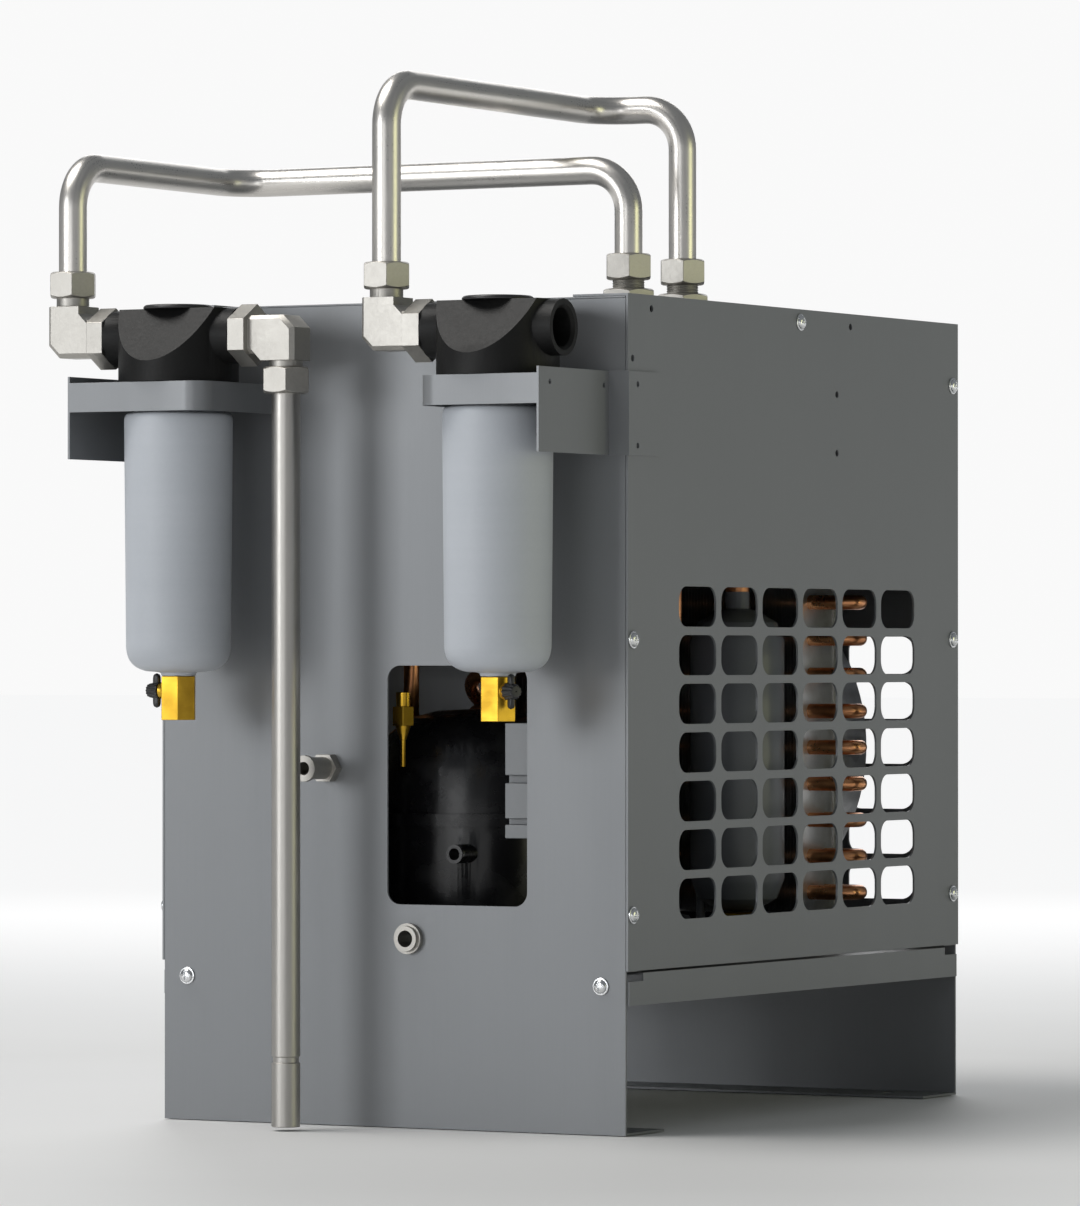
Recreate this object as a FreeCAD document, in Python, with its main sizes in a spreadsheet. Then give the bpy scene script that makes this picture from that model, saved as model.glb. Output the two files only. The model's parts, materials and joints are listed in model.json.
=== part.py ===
import FreeCAD, Part
import math
import os
import re
import Sketcher

# Refrigerated compressed-air dryer with a pre-filter and an after-filter hung on its front panel.
# Frame: origin at the centre of the four base bolts, on the plane the cabinet stands on;
# +Z up, the filters and the window face -Y, the grille with the bracket tab faces +X.

doc = FreeCAD.newDocument("AirDryer")
Vector = FreeCAD.Vector
sheet = doc.addObject("Spreadsheet::Sheet", "Dims")

DRIVING_DIMENSIONS = [
    ("cabinet_width", 340, "outside, X"),
    ("cabinet_depth", 464, "outside, Y"),
    ("cabinet_height", 520, "outside, Z"),
    ("gauge", 1.5, "sheet metal thickness"),
    ("tray_top", 100, "height of the tray floor"),
    ("skirt", 20, "depth of the tray's folded edges"),
    ("foot_flange", 50, "inward flange that the front and rear panels stand on"),
    ("side_return", 18, "folded edge of the front and rear panels"),
    ("top_lap", 39, "side panel's fold over the top cover"),
    ("base_hole_x", 130, "base bolt from the centre, X"),
    ("base_hole_y", 207, "base bolt from the centre, Y"),
    ("base_hole_radius", 4.5, "hole for an M8 bolt"),
    ("window_x", 48, "centre of the front window, X"),
    ("window_z", 215, "centre of the front window, Z"),
    ("window_width", 101, "front window"),
    ("window_height", 150, "front window"),
    ("window_corner", 9, "front window"),
    ("slot_length", 49.6, "grille slot"),
    ("slot_height", 25.2, "grille slot"),
    ("slot_corner", 9.5, "grille slot"),
    ("slot_pitch", 56.3, "between grille columns"),
    ("slot_rise", 30.5, "between grille rows"),
    ("grille_z", 235.5, "centre of the grille"),
    ("screw_radius", 2.0, "panel screw shank"),
    ("screw_hole", 2.2, "panel screw hole"),
    ("filter_reach", 55, "filter axis in front of the front panel"),
    ("left_filter_x", -123, "pre-filter axis"),
    ("right_filter_x", 109, "after-filter axis"),
    ("port_z", 497, "height of the filter ports"),
    ("port_half", 46.5, "half the distance between a filter's port faces"),
    ("boss_radius", 17.5, "outside of a port boss"),
    ("port_bore", 12.06, "minor radius of a G 3/4 thread"),
    ("head_radius", 38, "filter head"),
    ("head_bottom", 468.3, "filter head rests on the bracket"),
    ("head_top", 514.6, "filter head"),
    ("facet_low", 481, "lowest point of the head's sloping face"),
    ("band_bottom", 449.5, "bracket band"),
    ("band_top", 468, "bracket band"),
    ("band_front", 35, "band's face from the filter axis"),
    ("band_side", 39, "band's inner end from the filter axis"),
    ("plate_bottom", 420, "bracket's tall plate"),
    ("plate_top", 472, "bracket's tall plate"),
    ("plate_side", 48.5, "right bracket's plate from the filter axis"),
    ("left_plate_side", 60.5, "left bracket's plate from the filter axis"),
    ("bowl_radius", 34.3, "filter bowl at the top"),
    ("bowl_low_radius", 33, "filter bowl at the bottom"),
    ("bowl_wall", 3, "filter bowl"),
    ("bowl_top", 449, "filter bowl's shoulder"),
    ("bowl_bottom", 285.8, "filter bowl"),
    ("neck_radius", 28, "bowl's neck inside the bracket"),
    ("neck_top", 476, "bowl's neck inside the head"),
    ("tube_radius", 9, "air pipe"),
    ("tube_bore", 7.5, "air pipe"),
    ("tube_bend", 27, "air pipe, centre line"),
    ("elbow_leg", 33, "port face to the elbow's other axis"),
    ("elbow_width", 24, "elbow forging"),
    ("collar_flats", 34, "hexagon at the filter port"),
    ("nut_flats", 28, "compression nut"),
    ("nut_length", 16.7, "compression nut"),
    ("nut_z", 523.4, "bottom of the nuts over the elbows"),
    ("left_loop_z", 608, "height of the left pipe loop"),
    ("right_loop_z", 652, "height of the right pipe loop"),
    ("top_fitting_x", 91, "air inlet and outlet on the top cover"),
    ("inlet_y", -87, "dryer's air inlet"),
    ("outlet_y", -14, "dryer's air outlet"),
    ("top_nut_z", 537, "bottom of the nuts over the top cover"),
    ("riser_end", 2, "lower end of the riser pipe"),
    ("spigot", 40, "riser's plain end, for the fitting below"),
    ("stop_groove", 4, "groove that marks how far the fitting goes"),
    ("riser_nut_z", 460, "bottom of the riser's nut"),
    ("fan_z", 235.5, "fan axis"),
    ("fan_radius", 118, "fan blade tip"),
    ("hub_radius", 32, "fan hub"),
    ("shroud_radius", 121, "inside of the fan ring"),
    ("coil_y", 118, "middle of the condenser"),
    ("coil_half_x", 122, "condenser fins"),
    ("coil_half_z", 110, "condenser fins"),
    ("coil_pitch", 24, "condenser tube rows"),
    ("coil_tube", 4.8, "condenser tube radius"),
    ("hairpin_reach", 19, "hairpins past the fins at the grille end"),
    ("compressor_x", 0, "compressor axis"),
    ("compressor_y", -125, "compressor axis"),
    ("compressor_radius", 68, "compressor shell"),
    ("compressor_seam", 192, "weld seam of the shell"),
    ("separator_x", 100, "moisture separator axis"),
    ("separator_y", 45, "moisture separator axis"),
    ("separator_radius", 31, "moisture separator"),
    ("gland_x", 13.8, "cable gland"),
    ("gland_z", 118.7, "cable gland"),
    ("gland_bore", 5.2, "cable gland"),
    ("drain_x", -45.7, "condensate outlet"),
    ("drain_z", 225.3, "condensate outlet"),
    ("drain_bore", 4.1, "condensate outlet, for an 8 mm tube"),
    ("switch_y", -170, "mains switch on the left side panel"),
    ("switch_z", 440, "mains switch on the left side panel"),
    ("play", 0.3, "gap between bodies that move past each other"),
]
for row, (alias, default, note) in enumerate(DRIVING_DIMENSIONS, start=1):
    sheet.set("A%d" % row, alias)
    sheet.set("B%d" % row, str(default))
    sheet.set("C%d" % row, note)
    sheet.setAlias("B%d" % row, alias)
doc.recompute()

ALIASES = [row[0] for row in DRIVING_DIMENSIONS]
NODES = {}
TURNS = {
    "Z": FreeCAD.Rotation(),
    "X": FreeCAD.Rotation(Vector(0, 1, 0), 90),
    "Y": FreeCAD.Rotation(Vector(1, 0, 0), -90),
    "-Y": FreeCAD.Rotation(Vector(1, 0, 0), 90),
    "-Z": FreeCAD.Rotation(Vector(1, 0, 0), 180),
}


# ---------------------------------------------------------------- helpers

def full(expression):
    """An expression with every alias addressed in the sheet."""
    return re.sub(r"[a-z_]+", lambda word: "Dims." + word.group()
                  if word.group() in ALIASES else word.group(), str(expression))


def value(expression):
    """The number that an expression gives now."""
    return float(sheet.evalExpression(str(expression)))


def point(x, y, z):
    return Vector(value(x), value(y), value(z))


def place(item, x, y, z, axis="Z"):
    """Puts an object at a place bound to the sheet, with its own Z turned to the axis."""
    item.Placement = FreeCAD.Placement(Vector(), TURNS[axis])
    for name, expression in (("x", x), ("y", y), ("z", z)):
        item.setExpression("Placement.Base." + name, full(expression))
    return item


def keep(item, label):
    """Makes an object one of the assembly's nodes."""
    item.Label = label
    NODES[label] = item
    return item


def box(low, size):
    """A box from its low corner; every number is an expression."""
    item = doc.addObject("Part::Box", "block")
    for name, expression in zip(("Length", "Width", "Height"), size):
        item.setExpression(name, full(expression))
    return place(item, *low)


def slab(middle, size):
    """A box from its middle."""
    low = ["(%s) - (%s) / 2" % pair for pair in zip(middle, size)]
    return box(low, size)


def rod(start, radius, length, axis="Z"):
    item = doc.addObject("Part::Cylinder", "round")
    item.setExpression("Radius", full(radius))
    item.setExpression("Height", full(length))
    return place(item, *start, axis=axis)


def cone(start, radius, end_radius, length, axis="Z"):
    item = doc.addObject("Part::Cone", "taper")
    item.setExpression("Radius1", full(radius))
    item.setExpression("Radius2", full(end_radius))
    item.setExpression("Height", full(length))
    return place(item, *start, axis=axis)


def hexagon(start, flats, length, axis="Z"):
    item = doc.addObject("Part::Prism", "hexagon")
    item.Polygon = 6
    item.setExpression("Circumradius", full("(%s) / 2 / cos(30)" % flats))
    item.setExpression("Height", full(length))
    return place(item, *start, axis=axis)


def join(items):
    item = doc.addObject("Part::MultiFuse", "joined")
    item.Shapes = items
    item.Refine = True
    return item


def cut(base, tools):
    item = doc.addObject("Part::Cut", "cut")
    item.Base = base
    item.Tool = tools[0] if len(tools) == 1 else join(tools)
    return item


def group(items):
    item = doc.addObject("Part::Compound", "group")
    item.Links = items
    return item


def shaped(shape):
    """A plain feature for a shape that no parametric feature gives."""
    item = doc.addObject("Part::Feature", "shape")
    item.Shape = shape
    return item


def new_body(label, x="0", y="0", z="0", axis="Z"):
    body = doc.addObject("PartDesign::Body", label)
    place(body, x, y, z, axis)
    return keep(body, label)


def new_sketch(body, role, name):
    sketch = body.newObject("Sketcher::SketchObject", name)
    plane = [item for item in body.Origin.OriginFeatures if item.Role == role][0]
    sketch.AttachmentSupport = [(plane, "")]
    sketch.MapMode = "FlatFace"
    return sketch


def pin_down(sketch, element, end, x, y):
    """Fixes one end of a sketch line at a place bound to the sheet."""
    across = Sketcher.Constraint("DistanceX", -1, 1, element, end, value(x))
    upward = Sketcher.Constraint("DistanceY", -1, 1, element, end, value(y))
    sketch.setExpression("Constraints[%d]" % sketch.addConstraint(across), full(x))
    sketch.setExpression("Constraints[%d]" % sketch.addConstraint(upward), full(y))


def polygon(body, role, name, corners):
    """A closed sketch of straight lines through corners given as expressions."""
    sketch = new_sketch(body, role, name)
    places = [Vector(value(x), value(y), 0) for x, y in corners]
    count = len(places)
    for index in range(count):
        sketch.addGeometry(Part.LineSegment(places[index], places[(index + 1) % count]))
    for index in range(count):
        sketch.addConstraint(Sketcher.Constraint("Coincident", index, 2, (index + 1) % count, 1))
    for index, (x, y) in enumerate(corners):
        pin_down(sketch, index, 1, x, y)
    return sketch


def rectangle(body, role, name, low, high):
    corners = [(low[0], low[1]), (high[0], low[1]), (high[0], high[1]), (low[0], high[1])]
    return polygon(body, role, name, corners)


def circles(body, role, name, rings):
    """A sketch of circles, each (x, y, radius) in expressions."""
    sketch = new_sketch(body, role, name)
    for index, (x, y, radius) in enumerate(rings):
        centre = Vector(value(x), value(y), 0)
        sketch.addGeometry(Part.Circle(centre, Vector(0, 0, 1), value(radius)))
        pin_down(sketch, index, 3, x, y)
        size = sketch.addConstraint(Sketcher.Constraint("Radius", index, value(radius)))
        sketch.setExpression("Constraints[%d]" % size, full(radius))
    return sketch


def rounded_slot(body, role, name, middle, size, corner):
    """A sketch of a rectangle with round corners, all bound to the sheet."""
    sketch = new_sketch(body, role, name)
    mid_x, mid_y = value(middle[0]), value(middle[1])
    half_x, half_y, radius = value(size[0]) / 2, value(size[1]) / 2, value(corner)
    for quarter in range(4):
        sign_x = (1, -1, -1, 1)[quarter]
        sign_y = (1, 1, -1, -1)[quarter]
        centre = Vector(mid_x + sign_x * (half_x - radius), mid_y + sign_y * (half_y - radius), 0)
        circle = Part.Circle(centre, Vector(0, 0, 1), radius)
        start = quarter * math.pi / 2
        sketch.addGeometry(Part.ArcOfCircle(circle, start, start + math.pi / 2))
    for quarter in range(4):
        first = sketch.getPoint(quarter, 2)
        last = sketch.getPoint((quarter + 1) % 4, 1)
        sketch.addGeometry(Part.LineSegment(first, last))
    for quarter in range(4):
        line = 4 + quarter
        sketch.addConstraint(Sketcher.Constraint("Tangent", quarter, 2, line, 1))
        sketch.addConstraint(Sketcher.Constraint("Tangent", line, 2, (quarter + 1) % 4, 1))
    for quarter in range(1, 4):
        sketch.addConstraint(Sketcher.Constraint("Equal", 0, quarter))
    size_of_arc = sketch.addConstraint(Sketcher.Constraint("Radius", 0, radius))
    sketch.setExpression("Constraints[%d]" % size_of_arc, full(corner))
    for quarter, sign_x, sign_y in ((0, "+", "+"), (2, "-", "-")):
        x = "(%s) %s ((%s) / 2 - (%s))" % (middle[0], sign_x, size[0], corner)
        y = "(%s) %s ((%s) / 2 - (%s))" % (middle[1], sign_y, size[1], corner)
        pin_down(sketch, quarter, 3, x, y)
    return sketch


def pad(body, sketch, length, reverse=False, middle=False):
    feature = body.newObject("PartDesign::Pad", "Pad")
    feature.Profile = sketch
    feature.setExpression("Length", full(length))
    feature.Reversed = reverse
    feature.Midplane = middle
    doc.recompute()
    return feature


def pocket(body, sketch, reverse=False):
    """A pocket through everything on one side of the sketch; it has to remove metal."""
    before = body.Shape.Volume
    feature = body.newObject("PartDesign::Pocket", "Pocket")
    feature.Profile = sketch
    feature.Type = "ThroughAll"
    feature.Reversed = reverse
    doc.recompute()
    if body.Shape.Volume >= before - 0.01:
        raise RuntimeError("pocket in %s removes nothing" % body.Label)
    return feature


def revolve(body, sketch, axis="V_Axis"):
    feature = body.newObject("PartDesign::Revolution", "Revolution")
    feature.Profile = sketch
    feature.ReferenceAxis = (sketch, [axis])
    feature.Angle = 360
    doc.recompute()
    return feature


def bent_pipe(corners, radius, bend, bore=None):
    """A pipe along straight runs joined by tangent arcs; a bore makes it hollow."""
    edges = []
    start = corners[0]
    for here, corner in enumerate(corners[1:-1], start=1):
        way_in = (corner - corners[here - 1]).normalize()
        way_out = (corners[here + 1] - corner).normalize()
        turn = way_in.getAngle(way_out)
        reach = bend * math.tan(turn / 2)
        first = corner - way_in * reach
        last = corner + way_out * reach
        inward = (way_out - way_in).normalize()
        middle = corner + inward * (bend / math.cos(turn / 2) - bend)
        edges.append(Part.LineSegment(start, first).toShape())
        edges.append(Part.Arc(first, middle, last).toShape())
        start = last
    edges.append(Part.LineSegment(start, corners[-1]).toShape())
    route = Part.Wire(edges)
    heading = corners[1] - corners[0]

    def swept(size):
        ring = Part.Wire(Part.Circle(corners[0], heading, size).toShape())
        return route.makePipeShell([ring], True, False)

    pipe = swept(radius)
    if abs(pipe.Volume / (math.pi * radius ** 2 * route.Length) - 1) > 0.01:
        raise RuntimeError("pipe volume is wrong")
    return pipe.cut(swept(bore)) if bore else pipe


# ---------------------------------------------------------------- cabinet

def end_panel(label, side, openings):
    """Front (side -1) or rear (side 1) panel: full height, foot flange, folded edges."""
    outer = "%d * cabinet_depth / 2" % side
    low_y = outer if side < 0 else outer + " - gauge"
    half = "(cabinet_width / 2 - gauge - 0.3)"
    top = "cabinet_height - 2 * gauge"
    face = box(("-" + half, low_y, "0"), ("2 * " + half, "gauge", top))
    foot_y = outer if side < 0 else outer + " - foot_flange"
    foot = box(("-" + half, foot_y, "0"), ("2 * " + half, "foot_flange", "gauge"))
    fold_y = outer if side < 0 else outer + " - side_return"
    fold_z = "tray_top + 1"
    folds = [box((x, fold_y, fold_z), ("gauge", "side_return", top + " - tray_top - 1"))
             for x in ("-" + half, half + " - gauge")]
    head_fold = box(("-" + half, fold_y, top + " - gauge"), ("2 * " + half, "side_return", "gauge"))
    holes = [rod(("%d * base_hole_x" % sign, "%d * base_hole_y" % side, "-1"),
                 "base_hole_radius", "gauge + 2") for sign in (-1, 1)]
    for x, z in END_SCREWS:
        holes.append(rod((x, outer + " - 5", z), "screw_hole", "10", "Y"))
    for sign in (-1, 1):
        for y, z in SIDE_SCREWS:
            if value("(%s) * %d" % (y, side)) > 200:
                holes.append(rod(("%d * cabinet_width / 2 - 8" % sign, y, z), "screw_hole", "16", "X"))
    return keep(cut(join([face, foot, head_fold] + folds), holes + openings), label)


def side_panel(label, side):
    """Side panel folded over the top cover: the right one has the grille, the left one the switch."""
    panel = new_body(label, x="%d * cabinet_width / 2" % side)
    low = "tray_top + 1.5"
    face = rectangle(panel, "YZ_Plane", label + "_face", ("-cabinet_depth / 2", low),
                     ("cabinet_depth / 2", "cabinet_height"))
    pad(panel, face, "gauge", reverse=side > 0)
    lap = rectangle(panel, "YZ_Plane", label + "_lap", ("-cabinet_depth / 2", "cabinet_height - gauge"),
                    ("cabinet_depth / 2", "cabinet_height"))
    pad(panel, lap, "top_lap", reverse=side > 0)
    spots = SIDE_SCREWS + PLAIN_HOLES if side > 0 else SIDE_SCREWS
    holes = [(y, z, "screw_hole") for y, z in spots]
    panel.Tip = pocket(panel, circles(panel, "YZ_Plane", label + "_holes", holes), reverse=side < 0)
    if side < 0:
        opening = rectangle(panel, "YZ_Plane", label + "_switch", ("switch_y - 9.7", "switch_z - 14.2"),
                            ("switch_y + 9.7", "switch_z + 14.2"))
        panel.Tip = pocket(panel, opening, reverse=True)
        return
    slot = rounded_slot(panel, "YZ_Plane", label + "_slot",
                        ("-2.5 * slot_pitch", "grille_z - 3 * slot_rise"),
                        ("slot_length", "slot_height"), "slot_corner")
    first = pocket(panel, slot)
    grille = panel.newObject("PartDesign::LinearPattern", "Grille")
    grille.Originals = [first]
    grille.Direction = (slot, ["H_Axis"])
    grille.Occurrences = 6
    grille.setExpression("Length", full("5 * slot_pitch"))
    grille.Direction2 = (slot, ["V_Axis"])
    grille.Occurrences2 = 7
    grille.setExpression("Length2", full("6 * slot_rise"))
    panel.Tip = grille


def cabinet():
    window = new_tool_slot("window", ("window_x", "window_z"), ("window_width", "window_height"),
                           "window_corner", "-cabinet_depth / 2 + 5")
    gland_hole = rod(("gland_x", "-cabinet_depth / 2 - 5", "gland_z"), "8.1", "10", "Y")
    drain_hole = rod(("drain_x", "-cabinet_depth / 2 - 5", "drain_z"), "6.1", "10", "Y")
    end_panel("front_panel", -1, [window, gland_hole, drain_hole])
    slots = []
    for column in range(-2, 3):
        for rise in range(-3, 3):
            middle = ("%d * slot_pitch" % column, "fan_z + %d * slot_rise" % rise)
            slots.append(new_tool_slot("vent", middle, ("slot_length", "slot_height"), "slot_corner",
                                       "cabinet_depth / 2 + 5"))
    end_panel("rear_panel", 1, slots)
    side_panel("right_side_panel", 1)
    side_panel("left_side_panel", -1)
    cover_half_x = "(cabinet_width / 2 - gauge - 0.3)"
    cover_half_y = "cabinet_depth / 2"
    cover = box(("-" + cover_half_x, "-" + cover_half_y, "cabinet_height - 2 * gauge + 0.1"),
                ("2 * " + cover_half_x, "2 * " + cover_half_y, "gauge - 0.2"))
    holes = [rod(("top_fitting_x", y, "cabinet_height - 10"), "13.2", "20") for y in ("inlet_y", "outlet_y")]
    keep(cut(cover, holes), "top_cover")
    base_tray()
    keep(group([panel_screw(*spot) for spot in screw_spots()]), "panel_screws")


def new_tool_slot(name, middle, size, corner, y):
    """A round-cornered block that cuts a slot through an end panel."""
    half_x = "(%s) / 2 - (%s)" % (size[0], corner)
    half_z = "(%s) / 2 - (%s)" % (size[1], corner)
    wide = slab((middle[0], y + " - 5", middle[1]), (size[0], "10", "2 * (%s)" % half_z))
    tall = slab((middle[0], y + " - 5", middle[1]), ("2 * (%s)" % half_x, "10", size[1]))
    rounds = [rod(("(%s) + %d * (%s)" % (middle[0], sign_x, half_x), y + " - 10",
                   "(%s) + %d * (%s)" % (middle[1], sign_z, half_z)), corner, "10", "Y")
              for sign_x in (-1, 1) for sign_z in (-1, 1)]
    return join([wide, tall] + rounds)


def base_tray():
    """Floor of the cabinet with edges folded down and notched at the corners."""
    half_x = "cabinet_width / 2"
    half_y = "(cabinet_depth / 2 - gauge - 0.2)"
    floor = box(("-%s + 0.2" % half_x, "-" + half_y, "tray_top - gauge"),
                ("cabinet_width - 0.4", "2 * " + half_y, "gauge"))
    edges = []
    for low_x in ("-%s + 0.2" % half_x, half_x + " - gauge - 0.2"):
        edges.append(box((low_x, "-cabinet_depth / 2 + gauge + 0.5", "tray_top - skirt"),
                         ("gauge", "cabinet_depth - 2 * gauge - 1", "skirt - 0.5")))
    for low_y in ("-" + half_y, half_y + " - gauge"):
        edges.append(box(("-%s + 12" % half_x, low_y, "tray_top - skirt"),
                         ("cabinet_width - 24", "gauge", "skirt - 0.5")))
    notches = [slab(("%d * cabinet_width / 2" % sign_x, "%d * (cabinet_depth / 2 - 2)" % sign_y,
                     "tray_top"), ("24", "36", "10")) for sign_x in (-1, 1) for sign_y in (-1, 1)]
    holes = [rod((x, "%d * cabinet_depth / 2 - 8" % sign, z), "screw_hole", "16", "Y")
             for x, z in END_SCREWS for sign in (-1, 1)]
    holes.append(rod(("separator_x", "separator_y", "tray_top - 5"), "9", "10"))
    keep(cut(join([floor] + edges), notches + holes), "base_tray")


END_SCREWS = [("-151", "91.8"), ("151", "91.8")]
FRONT_EDGE = "-cabinet_depth / 2 + 6"
REAR_EDGE = "cabinet_depth / 2 - 9"
SIDE_SCREWS = [(FRONT_EDGE, "306"), (FRONT_EDGE, "136"), (REAR_EDGE, "478"), (REAR_EDGE, "307"),
               (REAR_EDGE, "136"), ("-0.5", "511.6")]
PLAIN_HOLES = [(FRONT_EDGE, "480"), ("-201.6", "511.6"), ("71.7", "511.6"), ("52", "466.6"), ("52", "428.3")]


def screw_spots():
    """Every panel screw: its seat and the way its head faces."""
    spots = []
    for x, z in END_SCREWS:
        spots.append((x, "-cabinet_depth / 2", z, "-Y"))
        spots.append((x, "cabinet_depth / 2", z, "Y"))
    for y, z in SIDE_SCREWS:
        spots.append(("cabinet_width / 2", y, z, "X"))
        spots.append(("-cabinet_width / 2", y, z, "-X"))
    return spots


TURNS["-X"] = FreeCAD.Rotation(Vector(0, 1, 0), -90)


def panel_screw(x, y, z, axis):
    """One button-head screw with its washer and a shank through the sheets."""
    step = {"X": (1, 0), "-X": (-1, 0), "Y": (0, 1), "-Y": (0, -1)}[axis]

    def along(distance):
        return ("(%s) + %g" % (x, step[0] * distance), "(%s) + %g" % (y, step[1] * distance), z)

    washer = rod(along(0), "5.6", "1.1", axis)
    head = cone(along(1.1), "4.5", "2.8", "2.4", axis)
    shank = rod(along(-5), "screw_radius", "6", axis)
    return join([washer, head, shank])


# ---------------------------------------------------------------- refrigeration circuit

def compressor():
    """Welded shell with its foot plate and process port, on four rubber grommets."""
    shell = doc.addObject("PartDesign::Body", "shell")
    place(shell, "compressor_x", "compressor_y", "0")
    radius = "compressor_radius"
    outline = [("0", "112"), (radius + " - 26", "112"), (radius + " - 9", "117"), (radius + " - 2", "128"),
               (radius + " - 2", "compressor_seam - 4"), (radius, "compressor_seam - 4"),
               (radius, "compressor_seam + 4"), (radius + " - 3", "compressor_seam + 4"),
               (radius + " - 3", "224"), (radius + " - 9", "243"), (radius + " - 24", "256"),
               (radius + " - 44", "261"), ("0", "262")]
    revolve(shell, polygon(shell, "XZ_Plane", "shell_outline", outline))
    foot_x, foot_y = "compressor_x", "compressor_y"
    plate = slab((foot_x, foot_y, "110.6"), ("150", "128", "3"))
    spots = [("%s + %d * 66" % (foot_x, sx), "%s + %d * 55" % (foot_y, sy)) for sx in (-1, 1) for sy in (-1, 1)]
    holes = [rod((x, y, "100"), "7.2", "20") for x, y in spots]
    grommets = []
    bolts = []
    for x, y in spots:
        ring = join([rod((x, y, "100"), "11", "9.1"), rod((x, y, "108"), "7", "6"),
                     rod((x, y, "112.1"), "11", "4.5")])
        grommets.append(cut(ring, [rod((x, y, "99"), "3.3", "20")]))
        bolts.append(join([rod((x, y, "100.2"), "3", "17"), rod((x, y, "116.8"), "8", "1.4"),
                           hexagon((x, y, "118.2"), "10", "4.5")]))
    keep(group(grommets), "rubber_grommets")
    keep(group(bolts), "compressor_bolts")
    port_y = "compressor_y - compressor_radius"
    port = rod(("28", port_y + " + 14", "171"), "6", "22", "-Y")
    port_hole = rod(("28", port_y + " + 4", "171"), "3.8", "14", "-Y")
    keep(cut(join([shell, plate, port]), holes + [port_hole]), "compressor_shell")
    doc.recompute()
    cover = slab(("compressor_x + compressor_radius + 13", "compressor_y", "200"), ("26", "50", "62"))
    keep(cover, "terminal_cover")


def refrigerant_lines():
    """Suction and discharge pipes, filter drier with its liquid line, capillary and hot gas valve."""
    inlet_z = "fan_z + 4 * coil_pitch"
    outlet_z = "fan_z - 4 * coil_pitch"
    coil_end = "-coil_half_x - 4.2"
    cold = bent_pipe([point("-48", "-125", "240"), point("-48", "-125", "306"), point("-48", "-20", "306"),
                      point("88", "-20", "306"), point("88", "-20", "344.8")], 5, 14)
    hot = bent_pipe([point("30", "-92", "258"), point("30", "-92", inlet_z), point("30", "-10", inlet_z),
                     point("-148", "-10", inlet_z), point("-148", "coil_y + 11", inlet_z),
                     point(coil_end, "coil_y + 11", inlet_z)], 4, 12)
    keep(shaped(cold.cut(shell_form())), "suction_pipe")
    keep(shaped(hot.cut(shell_form())), "discharge_pipe")
    liquid = bent_pipe([point(coil_end, "coil_y - 11", outlet_z), point("-148", "coil_y - 11", outlet_z),
                        point("-148", "-60", outlet_z), point("-118", "-60", outlet_z),
                        point("-118", "-60", "180")], 4, 10)
    drier = join([rod(("-118", "-60", "190"), "11", "80"), cone(("-118", "-60", "270"), "11", "3.5", "14"),
                  cone(("-118", "-60", "190"), "11", "3.5", "14", "-Z"), shaped(liquid)])
    keep(drier, "filter_drier")
    turns = [shaped(bent_pipe([point("-118", "-60", "284.2"), point("-118", "-60", "304"),
                               point("-118", "-124", "304"), point("-118", "-124", "218")], 1.6, 8))]
    for level in range(4):
        ring = doc.addObject("Part::Torus", "coil_turn")
        ring.Radius1 = 26
        ring.Radius2 = 1.6
        turns.append(place(ring, "-118", "-150", "%g" % (214 + 2.9 * level)))
    keep(join(turns), "capillary_tube")
    valve_x, valve_y = "-4", "-210"
    stem = [hexagon((valve_x, valve_y, "252"), "13", "12"), rod((valve_x, valve_y, "264"), "4.5", "9"),
            rod((valve_x, valve_y, "226"), "1.6", "26"), cone((valve_x, valve_y, "243"), "2", "5", "9")]
    keep(join(stem), "hot_gas_valve")


def shell_form():
    """The compressor's outside, for pipes that start on it."""
    return NODES["compressor_shell"].Shape


def condenser():
    """Finned block on one serpentine tube: hairpins at the +X end, crossing return bends at the -X end."""
    rows = 9
    half_step = 11
    columns = ("coil_y - %d" % half_step, "coil_y + %d" % half_step)
    levels = ["fan_z + %d * coil_pitch" % (row - rows // 2) for row in range(rows)]
    tubes = []
    for z in levels:
        for y in columns:
            tubes.append(rod(("-coil_half_x - 4", y, z), "coil_tube", "2 * coil_half_x + 4 + hairpin_reach", "X"))
        bend = return_bend("coil_half_x + hairpin_reach", z, "%d" % half_step)
        bend.Placement = FreeCAD.Placement(bend.Placement.Base, FreeCAD.Rotation(Vector(0, 0, 1), -90))
        tubes.append(bend)
    lean = math.degrees(math.atan2(value("coil_pitch"), 2 * half_step))
    flat_bend = FreeCAD.Rotation(Vector(0, 0, 1), 90)
    for z in levels[:-1]:
        bend = return_bend("-coil_half_x - 4", z + " + coil_pitch / 2",
                           "sqrt(%d^2 + coil_pitch^2) / 2" % (2 * half_step))
        bend.Placement = FreeCAD.Placement(bend.Placement.Base,
                                           FreeCAD.Rotation(Vector(1, 0, 0), -lean).multiply(flat_bend))
        tubes.append(bend)
    keep(join(tubes), "condenser_tubes")
    block = slab(("0", "coil_y", "fan_z"), ("2 * coil_half_x", "44", "2 * coil_half_z"))
    bores = [rod(("-coil_half_x - 4", y, z), "coil_tube", "2 * coil_half_x + 8", "X")
             for y in columns for z in levels]
    keep(cut(block, bores), "condenser_fins")


def return_bend(x, z, radius):
    """Half a ring of condenser tube."""
    bend = doc.addObject("Part::Torus", "return_bend")
    bend.setExpression("Radius1", full(radius))
    bend.setExpression("Radius2", full("coil_tube"))
    bend.Angle3 = 180
    return place(bend, x, "coil_y", z)


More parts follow.
